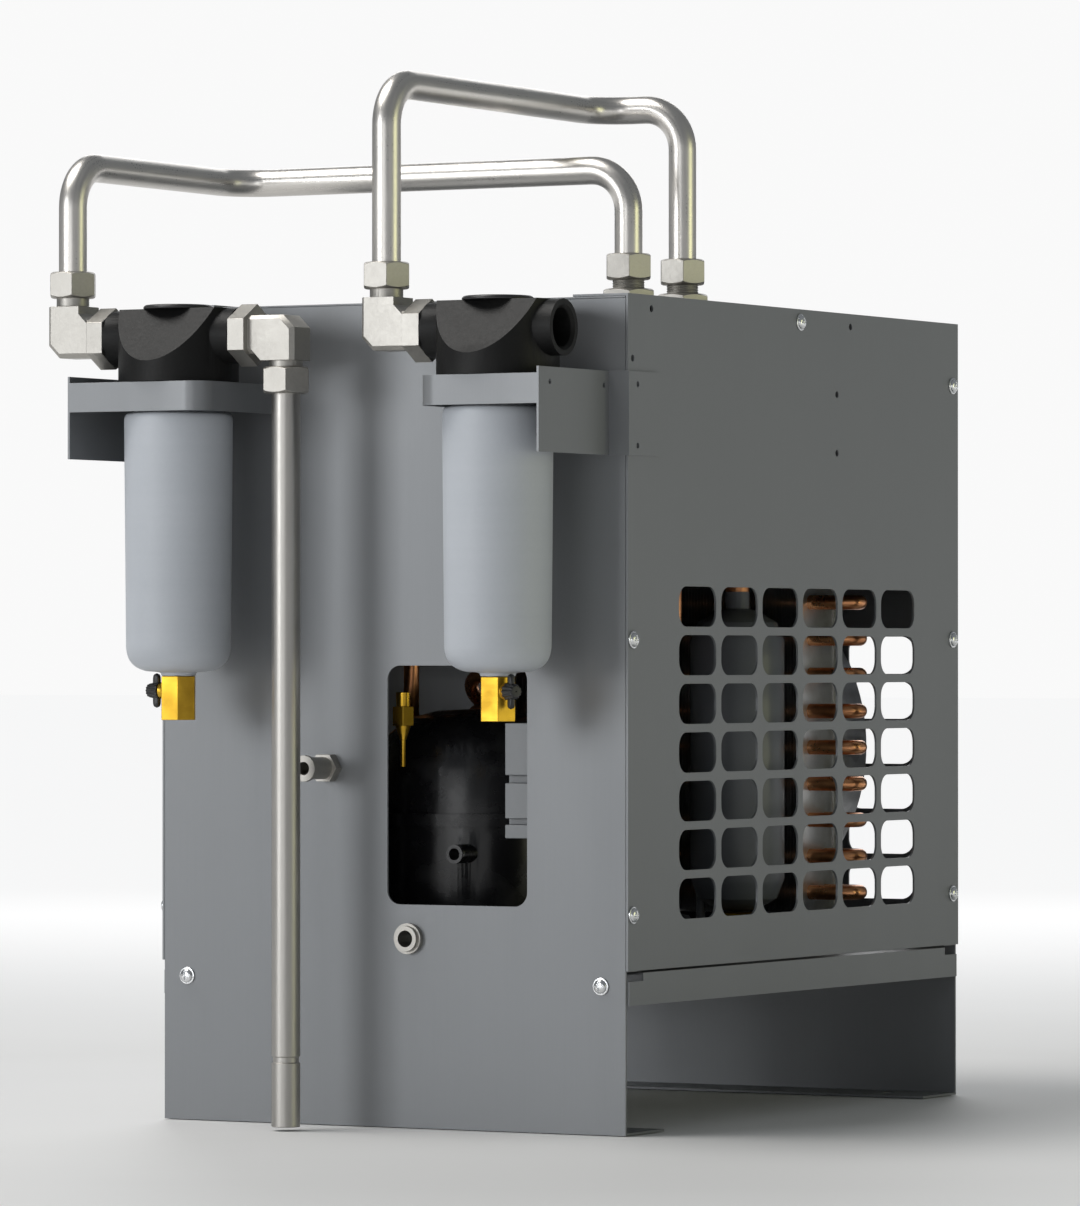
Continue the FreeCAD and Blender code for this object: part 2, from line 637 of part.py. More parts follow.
def fan():
    plate = slab(("0", "coil_y + 27", "fan_z"), ("2 * coil_half_x + 2", "2", "2 * coil_half_z + 26"))
    ring = rod(("0", "coil_y + 26", "fan_z"), "shroud_radius + 2", "44", "Y")
    wings = [slab(("%d * (coil_half_x - 0.2)" % sign, "coil_y + 24.1", "fan_z"),
                  ("2", "4", "2 * coil_half_z + 26")) for sign in (-1, 1)]
    legs = [box(("%d * 100 - 15" % sign, "coil_y + 26", "tray_top"),
                ("30", "2", "fan_z - coil_half_z - 12 - tray_top")) for sign in (-1, 1)]
    trim = slab(("0", "coil_y + 47", "fan_z"), ("2 * shroud_radius + 20", "60", "2 * coil_half_z + 26"))
    collar = doc.addObject("Part::Common", "collar")
    collar.Base = ring
    collar.Tool = trim
    bore = rod(("0", "coil_y + 15", "fan_z"), "shroud_radius", "70", "Y")
    keep(cut(join([plate, collar] + wings + legs), [bore]), "fan_shroud")

    motor_y = "coil_y + 70"
    can = join([rod(("0", motor_y, "fan_z"), "35", "34", "Y"),
                cone(("0", motor_y + " + 34", "fan_z"), "33", "14", "5", "Y"),
                rod(("0", motor_y + " - 10", "fan_z"), "12", "10", "Y"),
                rod(("0", "coil_y + 34", "fan_z"), "4", "30", "Y")])
    keep(can, "fan_motor")
    guard_y = "coil_y + 73"
    wires = []
    for radius in (44, 62, 80, 98, 116):
        hoop = doc.addObject("Part::Torus", "hoop")
        hoop.Radius1 = radius
        hoop.Radius2 = 1.6
        wires.append(place(hoop, "0", guard_y, "fan_z", "Y"))
    for arm in range(4):
        angle = math.radians(45 + 90 * arm)
        far = value("shroud_radius") + 1
        near = 35.5
        inner = Vector(near * math.cos(angle), value(guard_y), value("fan_z") + near * math.sin(angle))
        outer = Vector(far * math.cos(angle), value(guard_y), value("fan_z") + far * math.sin(angle))
        hook = Vector(outer.x, value("coil_y + 70.2"), outer.z)
        spoke = Part.makeCylinder(2.2, (outer - inner).Length, inner, outer - inner)
        foot = Part.makeCylinder(2.2, 5, hook, Vector(0, 1, 0))
        wires.append(shaped(spoke.fuse(foot)))
    sleeve = cut(rod(("0", guard_y + " - 3", "fan_z"), "38", "6", "Y"),
                 [rod(("0", guard_y + " - 5", "fan_z"), "35.02", "10", "Y")])
    keep(join(wires + [sleeve]), "fan_guard")
    fan_rotor()


def fan_rotor():
    """Hub and five pitched blades; each blade is lofted from its root section to its tip section."""
    blade_y = value("coil_y + 48")
    axis_z = value("fan_z")
    hub_radius = value("hub_radius")
    hub = Part.makeCylinder(hub_radius, 20, Vector(0, blade_y - 10, axis_z), Vector(0, 1, 0))
    bore = Part.makeCylinder(4.05, 30, Vector(0, blade_y - 15, axis_z), Vector(0, 1, 0))
    blades = []
    for number in range(5):
        sections = []
        for radius, chord, pitch in ((hub_radius - 2, 32, 40), (value("fan_radius"), 76, 24)):
            half_angle = chord / 2 / radius
            lift = 0.6 * chord / 2 * math.tan(math.radians(pitch))
            corners = []
            for end, offset in ((-1, -1), (1, -1), (1, 1), (-1, 1)):
                angle = half_angle * end + math.radians(72 * number)
                corners.append(Vector(radius * math.cos(angle), blade_y + lift * end + offset,
                                      axis_z + radius * math.sin(angle)))
            sections.append(Part.makePolygon(corners + corners[:1]))
        blades.append(Part.makeLoft(sections, True, True))
    keep(shaped(hub.fuse(blades).cut(bore)), "fan_rotor")


# ---------------------------------------------------------------- air circuit inside

def air_circuit():
    block = slab(("top_fitting_x", "(inlet_y + outlet_y) / 2", "410"), ("94", "146", "130"))
    stubs = [rod(("top_fitting_x", y, "474.8"), "12", "6") for y in ("inlet_y", "outlet_y")]
    keep(join([block] + stubs), "heat_exchanger")
    hanger = join([slab(("cabinet_width / 2 - 17.1", "(inlet_y + outlet_y) / 2", "400"), ("29.4", "20", "3")),
                   slab(("cabinet_width / 2 - 3.2", "(inlet_y + outlet_y) / 2", "410"), ("2", "60", "80"))])
    keep(hanger, "exchanger_bracket")
    separator = doc.addObject("PartDesign::Body", "separator")
    place(separator, "separator_x", "separator_y", "0")
    radius = "separator_radius"
    outline = [("0", "128"), (radius + " - 17", "130"), (radius + " - 5", "137"), (radius, "150"),
               (radius, "306"), (radius + " - 5", "318"), (radius + " - 17", "325"), ("8", "327"),
               ("8", "338"), ("0", "338")]
    revolve(separator, polygon(separator, "XZ_Plane", "separator_outline", outline))
    legs = [rod(("separator_x + 24 * cos(%d)" % turn, "separator_y + 24 * sin(%d)" % turn, "tray_top"), "3", "42")
            for turn in (90, 150, 210)]
    keep(join([separator] + legs), "moisture_separator")
    link = bent_pipe([point("separator_x", "separator_y", "338.2"), point("separator_x", "separator_y", "396"),
                      point("separator_x", "outlet_y + 36.8", "396")], 8, 14)
    keep(shaped(link), "separator_pipe")
    body = join([slab(("separator_x", "separator_y", "120"), ("26", "22", "15.6")),
                 slab(("separator_x", "separator_y - 20", "114"), ("14", "24", "12"))])
    keep(body, "drain_valve_body")
    keep(join([slab(("separator_x + 31.2", "separator_y", "115"), ("36", "28", "25")),
               slab(("separator_x + 31.2", "separator_y - 20", "115"), ("22", "12", "18"))]), "drain_coil")
    tube = bent_pipe([point("separator_x", "separator_y - 32.2", "114"),
                      point("separator_x", "-204", "114"), point("drain_x", "-204", "108"),
                      point("drain_x", "-204", "drain_z"), point("drain_x", "-215.8", "drain_z")], 4, 10)
    keep(shaped(tube), "drain_tube")


def front_fittings():
    wall = "-cabinet_depth / 2"
    inner = join([rod(("drain_x", wall + " + 16", "drain_z"), "6", "40", "-Y"),
                  hexagon(("drain_x", wall, "drain_z"), "17", "7", "-Y"),
                  rod(("drain_x", wall + " - 7", "drain_z"), "7", "20", "-Y"),
                  rod(("drain_x", wall + " - 27", "drain_z"), "8.3", "3.5", "-Y"),
                  hexagon(("drain_x", wall + " + 8", "drain_z"), "17", "6", "-Y")])
    bore = rod(("drain_x", wall + " - 12", "drain_z"), "drain_bore", "20", "-Y")
    keep(cut(inner, [bore]), "drain_outlet")
    gland = join([rod(("gland_x", wall + " + 13", "gland_z"), "8", "19", "-Y"),
                  rod(("gland_x", wall, "gland_z"), "9.7", "3.5", "-Y"),
                  hexagon(("gland_x", wall + " + 7", "gland_z"), "19", "5", "-Y")])
    hole = rod(("gland_x", wall + " + 20", "gland_z"), "gland_bore", "40", "-Y")
    keep(cut(gland, [hole]), "cable_gland")


def controls():
    box_middle = ("107", "-cabinet_depth / 2 + 41", "218")
    case = slab(box_middle, ("66", "52", "72"))
    grooves = [slab(("107", "-cabinet_depth / 2 + 16", z), ("70", "8", width))
               for z, width in (("219", "5"), ("192.5", "4"))]
    standoffs = [rod(("118", "-cabinet_depth / 2 + 16", z), "4", "14.4", "-Y") for z in ("200", "240")]
    keep(join([cut(case, grooves)] + standoffs), "control_box")
    wall = "-cabinet_width / 2"
    frame = join([slab((wall + " - 1.25", "switch_y", "switch_z"), ("2.5", "26", "36")),
                  slab((wall + " + 8", "switch_y", "switch_z"), ("18", "19", "28"))])
    cavity = slab((wall + " - 1", "switch_y", "switch_z"), ("16", "14", "24"))
    keep(cut(frame, [cavity]), "switch_housing")
    rocker = new_body("rocker", wall + " - 1", "switch_y", "switch_z")
    half = "11.2"
    outline = [("5", "-7"), ("5", "7"), ("0", half), ("-5.2", half + " - 0.4"), ("-2.2", "0"),
               ("-1.2", "-%s + 0.6" % half), ("0.6", "-" + half)]
    sketch = polygon(rocker, "XZ_Plane", "rocker_outline", outline)
    pad(rocker, sketch, "13.2", middle=True)


# ---------------------------------------------------------------- filters and their brackets

def filter_assembly(name, axis_x, knob_turn):
    """One filter: head, cap disc, lock ring, seal, element, bowl and manual drain."""
    axis_y = "(-cabinet_depth / 2 - filter_reach)"
    centre = (axis_x, axis_y)

    column = rod((*centre, "head_bottom"), "head_radius", "head_top - head_bottom")
    barrel = rod(("%s - port_half" % axis_x, axis_y, "port_z"), "boss_radius", "2 * port_half", "X")
    rise = value("head_top - facet_low")
    run = 24.0
    chisel = doc.addObject("Part::Box", "chisel")
    chisel.Length, chisel.Width, chisel.Height = 90, 60, 40
    slope = math.degrees(math.atan2(rise, run))
    turn = FreeCAD.Rotation(Vector(1, 0, 0), slope)
    low_edge = point(axis_x, axis_y + " - head_radius", "facet_low")
    chisel.Placement = FreeCAD.Placement(low_edge + turn.multVec(Vector(-45, -10, 0)), turn)
    body = join([cut(column, [chisel]), barrel])
    bores = [rod(("%s - port_half - 1" % axis_x, axis_y, "port_z"), "port_bore", "21", "X"),
             rod(("%s + port_half - 20" % axis_x, axis_y, "port_z"), "port_bore", "21", "X"),
             cone(("%s + port_half - 2" % axis_x, axis_y, "port_z"), "port_bore", "14.06", "2", "X"),
             rod((*centre, "head_bottom - 1"), "neck_radius + play", "neck_top + 2 - head_bottom"),
             rod((*centre, "head_bottom"), "19", "18")]
    keep(cut(body, bores), name + "_head")
    keep(join([rod((*centre, "head_top"), "22.3", "1.6"), cone((*centre, "head_top + 1.6"), "22.3", "20.5", "1.2")]),
         name + "_cap")

    ring = new_body(name + "_lock_ring", *centre, "0")
    outer = circles(ring, "XY_Plane", name + "_ring_outline", [("0", "0", "32.3"), ("0", "0", "neck_radius + play")])
    outer.AttachmentOffset = FreeCAD.Placement(Vector(0, 0, value("band_bottom + 3")), FreeCAD.Rotation())
    outer.setExpression("AttachmentOffset.Base.z", full("band_bottom + 3"))
    pad(ring, outer, "12.5")
    grip = circles(ring, "XY_Plane", name + "_ring_grip", [("33", "0", "1.8")])
    notch = pocket(ring, grip, reverse=True)
    around = ring.newObject("PartDesign::PolarPattern", "Grips")
    around.Originals = [notch]
    around.Axis = (grip, ["N_Axis"])
    around.Angle = 360
    around.Occurrences = 16
    ring.Tip = around

    bowl = new_body(name + "_bowl", *centre, "0")
    low, wall = "bowl_low_radius", "bowl_wall"
    outside = [("11", "bowl_bottom"), (low + " - 12", "bowl_bottom + 0.6"), (low + " - 5.5", "bowl_bottom + 3.4"),
               (low + " - 1.6", "bowl_bottom + 8"), (low, "bowl_bottom + 14"), ("bowl_radius", "bowl_top - 3"),
               ("bowl_radius - 1.5", "bowl_top"), ("neck_radius", "bowl_top"), ("neck_radius", "neck_top")]
    inside = [("neck_radius - 2.6", "neck_top"), ("neck_radius - 2.6", "bowl_top - 2"),
              ("bowl_radius - %s" % wall, "bowl_top - 6"), (low + " - " + wall, "bowl_bottom + 15"),
              (low + " - 7", "bowl_bottom + 7"), ("6.2", "bowl_bottom + 3.2"), ("6.2", "bowl_bottom - 2.6"),
              ("11", "bowl_bottom - 2.6")]
    revolve(bowl, polygon(bowl, "XZ_Plane", name + "_bowl_outline", outside + inside))

    core = [rod((*centre, "345"), "23.5", "118"), rod((*centre, "341"), "21", "4"),
            rod((*centre, "463"), "18.7", "20.5")]
    keep(join(core), name + "_element")
    drain_z = "bowl_bottom - 2.6"
    block = join([hexagon((*centre, drain_z + " - 27.5"), "21", "27.5"),
                  rod((*centre, drain_z), "6", "8")])
    direction = Vector(math.cos(math.radians(knob_turn)), math.sin(math.radians(knob_turn)), 0)
    knob_z = value(drain_z) - 9
    seat = point(*centre, knob_z)
    boss = Part.makeCylinder(5, 13, seat, direction)
    drill = Part.makeCylinder(2.3, 12, seat + direction * 6, direction)
    outlet = Part.makeCylinder(3, 20, point(*centre, drain_z + " - 28"), Vector(0, 0, 1))
    keep(cut(join([block, shaped(boss)]), [shaped(drill), shaped(outlet)]), name + "_drain_valve")

    across = direction.cross(Vector(0, 0, 1))
    stem = Part.makeCylinder(2.25, 10, seat + direction * 7, direction)
    hub = Part.makeCone(6, 3.6, 9, seat + direction * 13.3, direction)
    frame = FreeCAD.Placement(seat, FreeCAD.Rotation(direction, Vector(0, 0, 1), across, "XYZ"))
    wings = Part.makeBox(5, 5, 22, Vector(13.6, -2.5, -11))
    wings = wings.makeFillet(1.2, wings.Edges)
    wings.Placement = frame.multiply(wings.Placement)
    keep(shaped(stem.fuse([hub, wings])), name + "_drain_knob")


def rounded_corner(base, spot, radius):
    """A box with one of its upright edges rounded."""
    doc.recompute()
    target = point(*spot, "0")
    edges = [number for number, edge in enumerate(base.Shape.Edges, start=1)
             if all(math.hypot(end.Point.x - target.x, end.Point.y - target.y) < 0.01 for end in edge.Vertexes)]
    corner = doc.addObject("Part::Fillet", "rounded_corner")
    corner.Base = base
    corner.Edges = [(edges[0], radius, radius)]
    return corner


def filter_bracket(name, axis_x, side):
    """Folded bracket: tall plate on the outer side, band, shelf under the head, wall flange and corner tab."""
    axis_y = "(-cabinet_depth / 2 - filter_reach)"
    front = axis_y + " - band_front"
    plate_reach = "plate_side" if side > 0 else "left_plate_side"
    plate_x = "(%s + %d * %s)" % (axis_x, side, plate_reach)
    inner_x = "(%s - %d * band_side)" % (axis_x, side)
    low_x = inner_x if side > 0 else plate_x
    width = "(band_side + %s)" % plate_reach
    wall = "-cabinet_depth / 2"
    depth = "(filter_reach + band_front - 0.1)"
    tall = box((plate_x + (" - gauge" if side > 0 else ""), front, "plate_bottom"),
               ("gauge", depth, "plate_top - plate_bottom"))
    outer = box((low_x, front, "band_bottom"), (width, depth, "band_top - band_bottom"))
    band = rounded_corner(outer, (inner_x, front), 14.0)
    hollow = box((low_x + " + gauge", front + " + gauge", "band_bottom - 1"),
                 (width + " - 2 * gauge", depth, "band_top - band_bottom + 1 - gauge"))
    hollow = rounded_corner(hollow, ("%s + %d * gauge" % (inner_x, side), front + " + gauge"), 12.5)
    throat = rod((axis_x, axis_y, "band_bottom"), "neck_radius + 1.5", "40")
    plate_holes = [rod((plate_x + " - 5", "%s + %d" % (front, reach), "463"), "1.6", "10", "X")
                   for reach in (14, 82)]
    flange_low = "cabinet_width / 2 - 22" if side > 0 else plate_x
    flange_width = "22 + gauge + 0.1" if side > 0 else "%s - %s" % ("(-cabinet_width / 2 + 22)", plate_x)
    flange = box((flange_low, wall + " - gauge - 0.1", "plate_bottom"),
                 (flange_width, "gauge", "plate_top - plate_bottom"))
    tab = box(("%d * (cabinet_width / 2 + 0.1)" % side + (" - gauge" if side < 0 else ""),
               wall + " - gauge - 0.1", "plate_bottom"), ("gauge", "39", "plate_top - plate_bottom"))
    tab_holes = [rod(("%d * cabinet_width / 2 - 5" % side, wall + " + 9.8", z), "1.8", "10", "X")
                 for z in ("426", "464")]
    keep(cut(join([cut(band, [hollow]), tall, flange, tab]), [throat] + plate_holes + tab_holes),
         name + "_bracket")


def filters():
    filter_assembly("left", "left_filter_x", 180)
    filter_assembly("right", "right_filter_x", -30)
    filter_bracket("left", "left_filter_x", -1)
    filter_bracket("right", "right_filter_x", 1)
    axis_y = "(-cabinet_depth / 2 - filter_reach)"
    rings = []
    for axis_x in ("left_filter_x", "right_filter_x"):
        seal = rod((axis_x, axis_y, "neck_top + 0.1"), "27.4", "0.8")
        rings.append(cut(seal, [rod((axis_x, axis_y, "neck_top - 1"), "25.6", "4")]))
    keep(group(rings), "bowl_seals")


# ---------------------------------------------------------------- elbows, nuts and pipes

def elbow(label, port_x, side, upward, leg, neck_end):
    """Forged elbow: hexagon against the filter port, square leg up or down, threaded neck."""
    axis_y = "(-cabinet_depth / 2 - filter_reach)"
    leg_x = "(%s + %d * elbow_leg)" % (port_x, side)
    way = 1 if upward else -1
    half = "elbow_width / 2"
    forging = doc.addObject("PartDesign::Body", label + "_forging")
    place(forging, leg_x, axis_y, "port_z")
    reach = "(elbow_leg - 0.2) * %d" % -side
    out = "%d * %s" % (side, half)
    inward = "%d * %s" % (-side, half)
    tall = "%d * %g" % (way, leg)
    corners = [(reach, "%d * %s" % (-way, half)), ("%d * (%s - 8)" % (side, half), "%d * %s" % (-way, half)),
               (out, "%d * (%s - 8)" % (-way, half)), (out, tall), (inward, tall),
               (inward, "%d * (%s + 4)" % (way, half)),
               ("%d * (%s + 4)" % (-side, half), "%d * %s" % (way, half)),
               (reach, "%d * %s" % (way, half))]
    sketch = polygon(forging, "XZ_Plane", label + "_outline", corners)
    solid = pad(forging, sketch, "elbow_width", middle=True)
    bevel = forging.newObject("PartDesign::Chamfer", "Bevel")
    long_edges = ["Edge%d" % number for number, edge in enumerate(solid.Shape.Edges, start=1)
                  if edge.BoundBox.YLength < 0.01 and edge.Length > 9
                  and not (edge.BoundBox.XLength < 0.01 and edge.BoundBox.XMin * -side > value("elbow_leg") - 1)
                  and not (edge.BoundBox.ZLength < 0.01 and abs(edge.BoundBox.ZMin * way - leg) < 0.1)]
    bevel.Base = (solid, long_edges)
    bevel.Size = 2.6
    doc.recompute()
    collar_low = "%s + 0.1" % port_x if side > 0 else "%s - 12.1" % port_x
    collar = hexagon((collar_low, axis_y, "port_z"), "collar_flats", "12", "X")
    neck_axis = "Z" if upward else "-Z"
    neck_start = "port_z + %d * %g" % (way, leg - 2)
    neck = rod((leg_x, axis_y, neck_start), "10.4", "%d * (%s - (%s))" % (way, neck_end, neck_start), neck_axis)
    tail_low = port_x + (" - 12" if side > 0 else " - 1")
    tail = rod((tail_low, axis_y, "port_z"), "11.8", "13", "X")
    whole = join([forging, collar, neck, tail])
    bores = [rod((leg_x, axis_y, "port_z"), "6.5", "60", neck_axis),
             rod((port_x + " - 40", axis_y, "port_z"), "7.2", "80", "X")]
    stop = slab(("%s + %d * 60" % (leg_x, side), axis_y, "port_z"), ("100", "20", "20"))
    keep(cut(whole, [bores[0], cut(bores[1], [stop])]), label)


def compression_nut(x, y, low, upward=True):
    """Hexagon nut that slides over the pipe and onto the threaded neck."""
    thread_low = low + " - 0.1" if upward else low + " + nut_length - 8.1"
    outside = doc.addObject("Part::Common", "nut_form")
    outside.Base = hexagon((x, y, low), "nut_flats", "nut_length")
    facing = join([cone((x, y, low), "nut_flats / 2 + 0.4", "nut_flats / 2 + 2.4", "2"),
                   rod((x, y, low + " + 2"), "nut_flats / 2 + 2.4", "nut_length - 4"),
                   cone((x, y, low + " + nut_length - 2"), "nut_flats / 2 + 2.4", "nut_flats / 2 + 0.4", "2")])
    outside.Tool = facing
    return cut(outside, [rod((x, y, low + " - 1"), "tube_radius + 0.05", "nut_length + 2"),
                         rod((x, y, thread_low), "10.5", "8.2")])


def top_fitting(label, y):
    """Bulkhead connector through the top cover, from the exchanger to its nut."""
    x = "top_fitting_x"
    roof = "cabinet_height - gauge"
    body = join([rod((x, y, "481"), "12", "45"), hexagon((x, y, roof + " + 0.1"), "32", "12.5"),
                   rod((x, y, roof + " + 12"), "10.4", "14.5")])
    lock_nut = hexagon((x, y, roof + " - gauge - 9"), "32", "8")
    keep(cut(join([body, lock_nut]), [rod((x, y, "480"), "7", "80")]), label)


def pipework():
    axis_y = "(-cabinet_depth / 2 - filter_reach)"
    left_x = "(left_filter_x - port_half)"
    riser_port = "(left_filter_x + port_half)"
    right_x = "(right_filter_x - port_half)"
    elbow("left_elbow", left_x, -1, True, 21, "nut_z + 8")
    elbow("right_elbow", right_x, -1, True, 21, "nut_z + 8")
    elbow("riser_elbow", riser_port, 1, False, 16.5, "(riser_nut_z + nut_length - 8)")
    top_fitting("air_inlet_fitting", "inlet_y")
    top_fitting("air_outlet_fitting", "outlet_y")
    left_pipe = left_x + " - elbow_leg"
    right_pipe = right_x + " - elbow_leg"
    riser_pipe = riser_port + " + elbow_leg"
    nuts = [compression_nut(left_pipe, axis_y, "nut_z"), compression_nut(right_pipe, axis_y, "nut_z"),
            compression_nut(riser_pipe, axis_y, "riser_nut_z", upward=False),
            compression_nut("top_fitting_x", "inlet_y", "top_nut_z"),
            compression_nut("top_fitting_x", "outlet_y", "top_nut_z")]
    keep(group(nuts), "pipe_nuts")
    radius, bend, bore = value("tube_radius"), value("tube_bend"), value("tube_bore")
    start = "nut_z + 8.4"
    for label, x, y, height in (("left_loop_pipe", left_pipe, "inlet_y", "left_loop_z"),
                                ("right_loop_pipe", right_pipe, "outlet_y", "right_loop_z")):
        route = [point(x, axis_y, start), point(x, axis_y, height), point(x, y, height),
                 point("top_fitting_x", y, height), point("top_fitting_x", y, "top_nut_z + 8.4")]
        keep(shaped(bent_pipe(route, radius, bend, bore)), label)
    top = "riser_nut_z + nut_length - 8.4"
    tube = rod((riser_pipe, axis_y, "riser_end"), "tube_radius", top + " - riser_end")
    stop_mark = cut(rod((riser_pipe, axis_y, "riser_end + spigot"), "tube_radius + 1", "stop_groove"),
                    [rod((riser_pipe, axis_y, "riser_end + spigot - 1"), "tube_radius - 0.8", "stop_groove + 2")])
    hole = rod((riser_pipe, axis_y, "riser_end - 1"), "tube_bore", top + " - riser_end + 2")
    keep(cut(tube, [hole, stop_mark]), "riser_pipe")


# ---------------------------------------------------------------- build, check and write

cabinet()
compressor()
refrigerant_lines()
condenser()
fan()
air_circuit()
front_fittings()
controls()
filters()
pipework()
doc.recompute()

faults = [item.Label for item in doc.Objects if "Invalid" in item.State or "Error" in item.State]
faults += [label for label, item in NODES.items() if item.Shape.isNull() or not item.Shape.isValid()]
if faults:
    raise RuntimeError("failed: " + ", ".join(faults))

os.makedirs("parts", exist_ok=True)
for label, item in NODES.items():
    item.Shape.exportStep("parts/%s.step" % label)
    print("%-20s %2d solid %10.0f mm3" % (label, len(item.Shape.Solids), item.Shape.Volume))
print(len(NODES), "nodes")
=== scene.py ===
"""Refrigerated air dryer: the looks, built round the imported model."""
import json
import math

import bmesh
import bpy
import numpy as np
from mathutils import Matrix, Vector


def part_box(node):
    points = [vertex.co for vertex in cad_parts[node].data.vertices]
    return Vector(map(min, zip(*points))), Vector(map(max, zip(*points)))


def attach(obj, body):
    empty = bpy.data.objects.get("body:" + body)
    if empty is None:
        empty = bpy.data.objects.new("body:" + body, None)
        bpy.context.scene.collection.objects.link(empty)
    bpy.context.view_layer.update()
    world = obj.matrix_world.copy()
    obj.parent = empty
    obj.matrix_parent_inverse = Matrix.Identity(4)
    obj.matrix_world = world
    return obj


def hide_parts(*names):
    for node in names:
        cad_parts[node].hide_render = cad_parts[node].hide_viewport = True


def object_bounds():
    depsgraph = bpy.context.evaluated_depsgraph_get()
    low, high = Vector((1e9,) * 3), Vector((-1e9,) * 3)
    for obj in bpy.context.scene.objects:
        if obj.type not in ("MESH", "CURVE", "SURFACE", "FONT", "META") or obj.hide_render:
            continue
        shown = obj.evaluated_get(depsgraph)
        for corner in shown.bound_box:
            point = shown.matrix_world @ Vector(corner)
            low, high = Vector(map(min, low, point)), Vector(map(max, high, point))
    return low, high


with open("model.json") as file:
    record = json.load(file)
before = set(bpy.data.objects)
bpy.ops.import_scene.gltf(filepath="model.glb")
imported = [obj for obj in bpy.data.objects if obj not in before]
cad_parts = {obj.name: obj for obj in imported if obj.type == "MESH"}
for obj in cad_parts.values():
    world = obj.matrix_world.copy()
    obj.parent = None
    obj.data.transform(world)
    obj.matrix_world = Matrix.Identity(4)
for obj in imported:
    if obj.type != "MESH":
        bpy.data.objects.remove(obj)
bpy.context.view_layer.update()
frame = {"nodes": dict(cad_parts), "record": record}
MM = 0.001
TURN = 2 * math.pi

# main sizes of the dryer, in millimetres
CABINET_X, CABINET_Y = 170.0, 232.0
FILTER_Y = -287.0
FILTERS = {"left": (-123.0, 180.0), "right": (109.0, -30.0)}  # place of the axis, heading of the drain knob
DRAIN_KNOB_Z = 274.2
FAN_Z = 235.5
COIL_Y = 118.0
FIN_WAVE = 11.0
ROTOR_Y, MOTOR_Y, GUARD_Y = COIL_Y + 48, COIL_Y + 70, COIL_Y + 73
TUBE, TUBE_BORE, TUBE_BEND = 9.0, 7.5, 27.0
TUBE_RIM, GROOVE = 8.6, 8.2
RISER_TOP = 468.3
PORT_REACH = 79.5  # from a filter's axis to the pipes at its sides
TOP_PORT_X, INLET_Y, OUTLET_Y = 91, -87, -14
NUT_FLATS, NUT_LENGTH, NUT_BORE = 28, 16.7, 9.1
FITTING_FLATS, FITTING_BORE = 32, 7
HEX_TURN = 30  # degrees from the first flat to +X
UP, REARWARD = (0, 0, 1), (0, 1, 0)


# ---------------------------------------------------------------- surfaces

def grid(points, wrap_rows=False, drawn=None):
    """One surface: a table of points in millimetres whose columns join up again, and whether its rows do."""
    return {"points": np.asarray(points, float), "wrap": wrap_rows, "drawn": drawn}


def grid_faces(rows, columns, wrap_rows):
    """Each cell of the table is one four-sided face."""
    i, j = np.meshgrid(np.arange(rows if wrap_rows else rows - 1), np.arange(columns), indexing="ij")
    down, right = (i + 1) % rows, (j + 1) % columns
    return np.stack([i * columns + j, i * columns + right, down * columns + right, down * columns + j],
                    -1).reshape(-1, 4)


def axis_frame(axis):
    """Two directions square to an axis, and the axis, as the rows of a table."""
    axis = np.asarray(axis, float) / np.linalg.norm(axis)
    helper = np.array([1.0, 0, 0]) if abs(axis[0]) < 0.8 else np.array([0, 1.0, 0])
    side = helper - axis * helper.dot(axis)
    side /= np.linalg.norm(side)
    return np.stack([side, np.cross(axis, side), axis])


def around(axis, t):
    """Unit steps away from an axis at the angles t, cos(t) side + sin(t) across, and the axis itself."""
    side, across, along = axis_frame(axis)
    return np.cos(t)[:, None] * side + np.sin(t)[:, None] * across, along


def softened(profile, reach, closed=False, steps=4):
    """Each corner becomes a curve between two points set back along its sides: (1-s)^2 a + 2s(1-s) p + s^2 b."""
    p = np.asarray(profile, float)
    before, after = np.roll(p, 1, 0), np.roll(p, -1, 0)
    if not closed:
        before[0], after[-1] = p[0], p[-1]

    def set_back(other):
        gap = np.linalg.norm(other - p, axis=1, keepdims=True)
        return p + (other - p) * np.minimum(reach, gap * 0.45) / np.maximum(gap, 1e-9)

    a, b = set_back(before), set_back(after)
    s = np.linspace(0, 1, steps)[None, :, None]
    curve = (1 - s) ** 2 * a[:, None] + 2 * s * (1 - s) * p[:, None] + s ** 2 * b[:, None]
    return curve.reshape(-1, 2)


def turned(profile, centre, axis=(0, 0, 1), sides=64, closed=False, soft=0.0):
    """Lathe form: point = centre + r cos(t) side + r sin(t) across + h axis, for each (r, h) of the profile."""
    p = softened(profile, soft, closed) if soft else np.asarray(profile, float)
    ring, along = around(axis, np.linspace(0, TURN, sides, endpoint=False))
    points = np.asarray(centre, float) + p[:, 0][:, None, None] * ring + p[:, 1][:, None, None] * along
    return grid(points, wrap_rows=closed)


def hexagon_reach(t, flats):
    """Distance from the axis to a hexagon's side: half the flats over the cosine of the angle from the flat."""
    return flats / 2 / np.cos((t + math.pi / 6) % (math.pi / 3) - math.pi / 6)


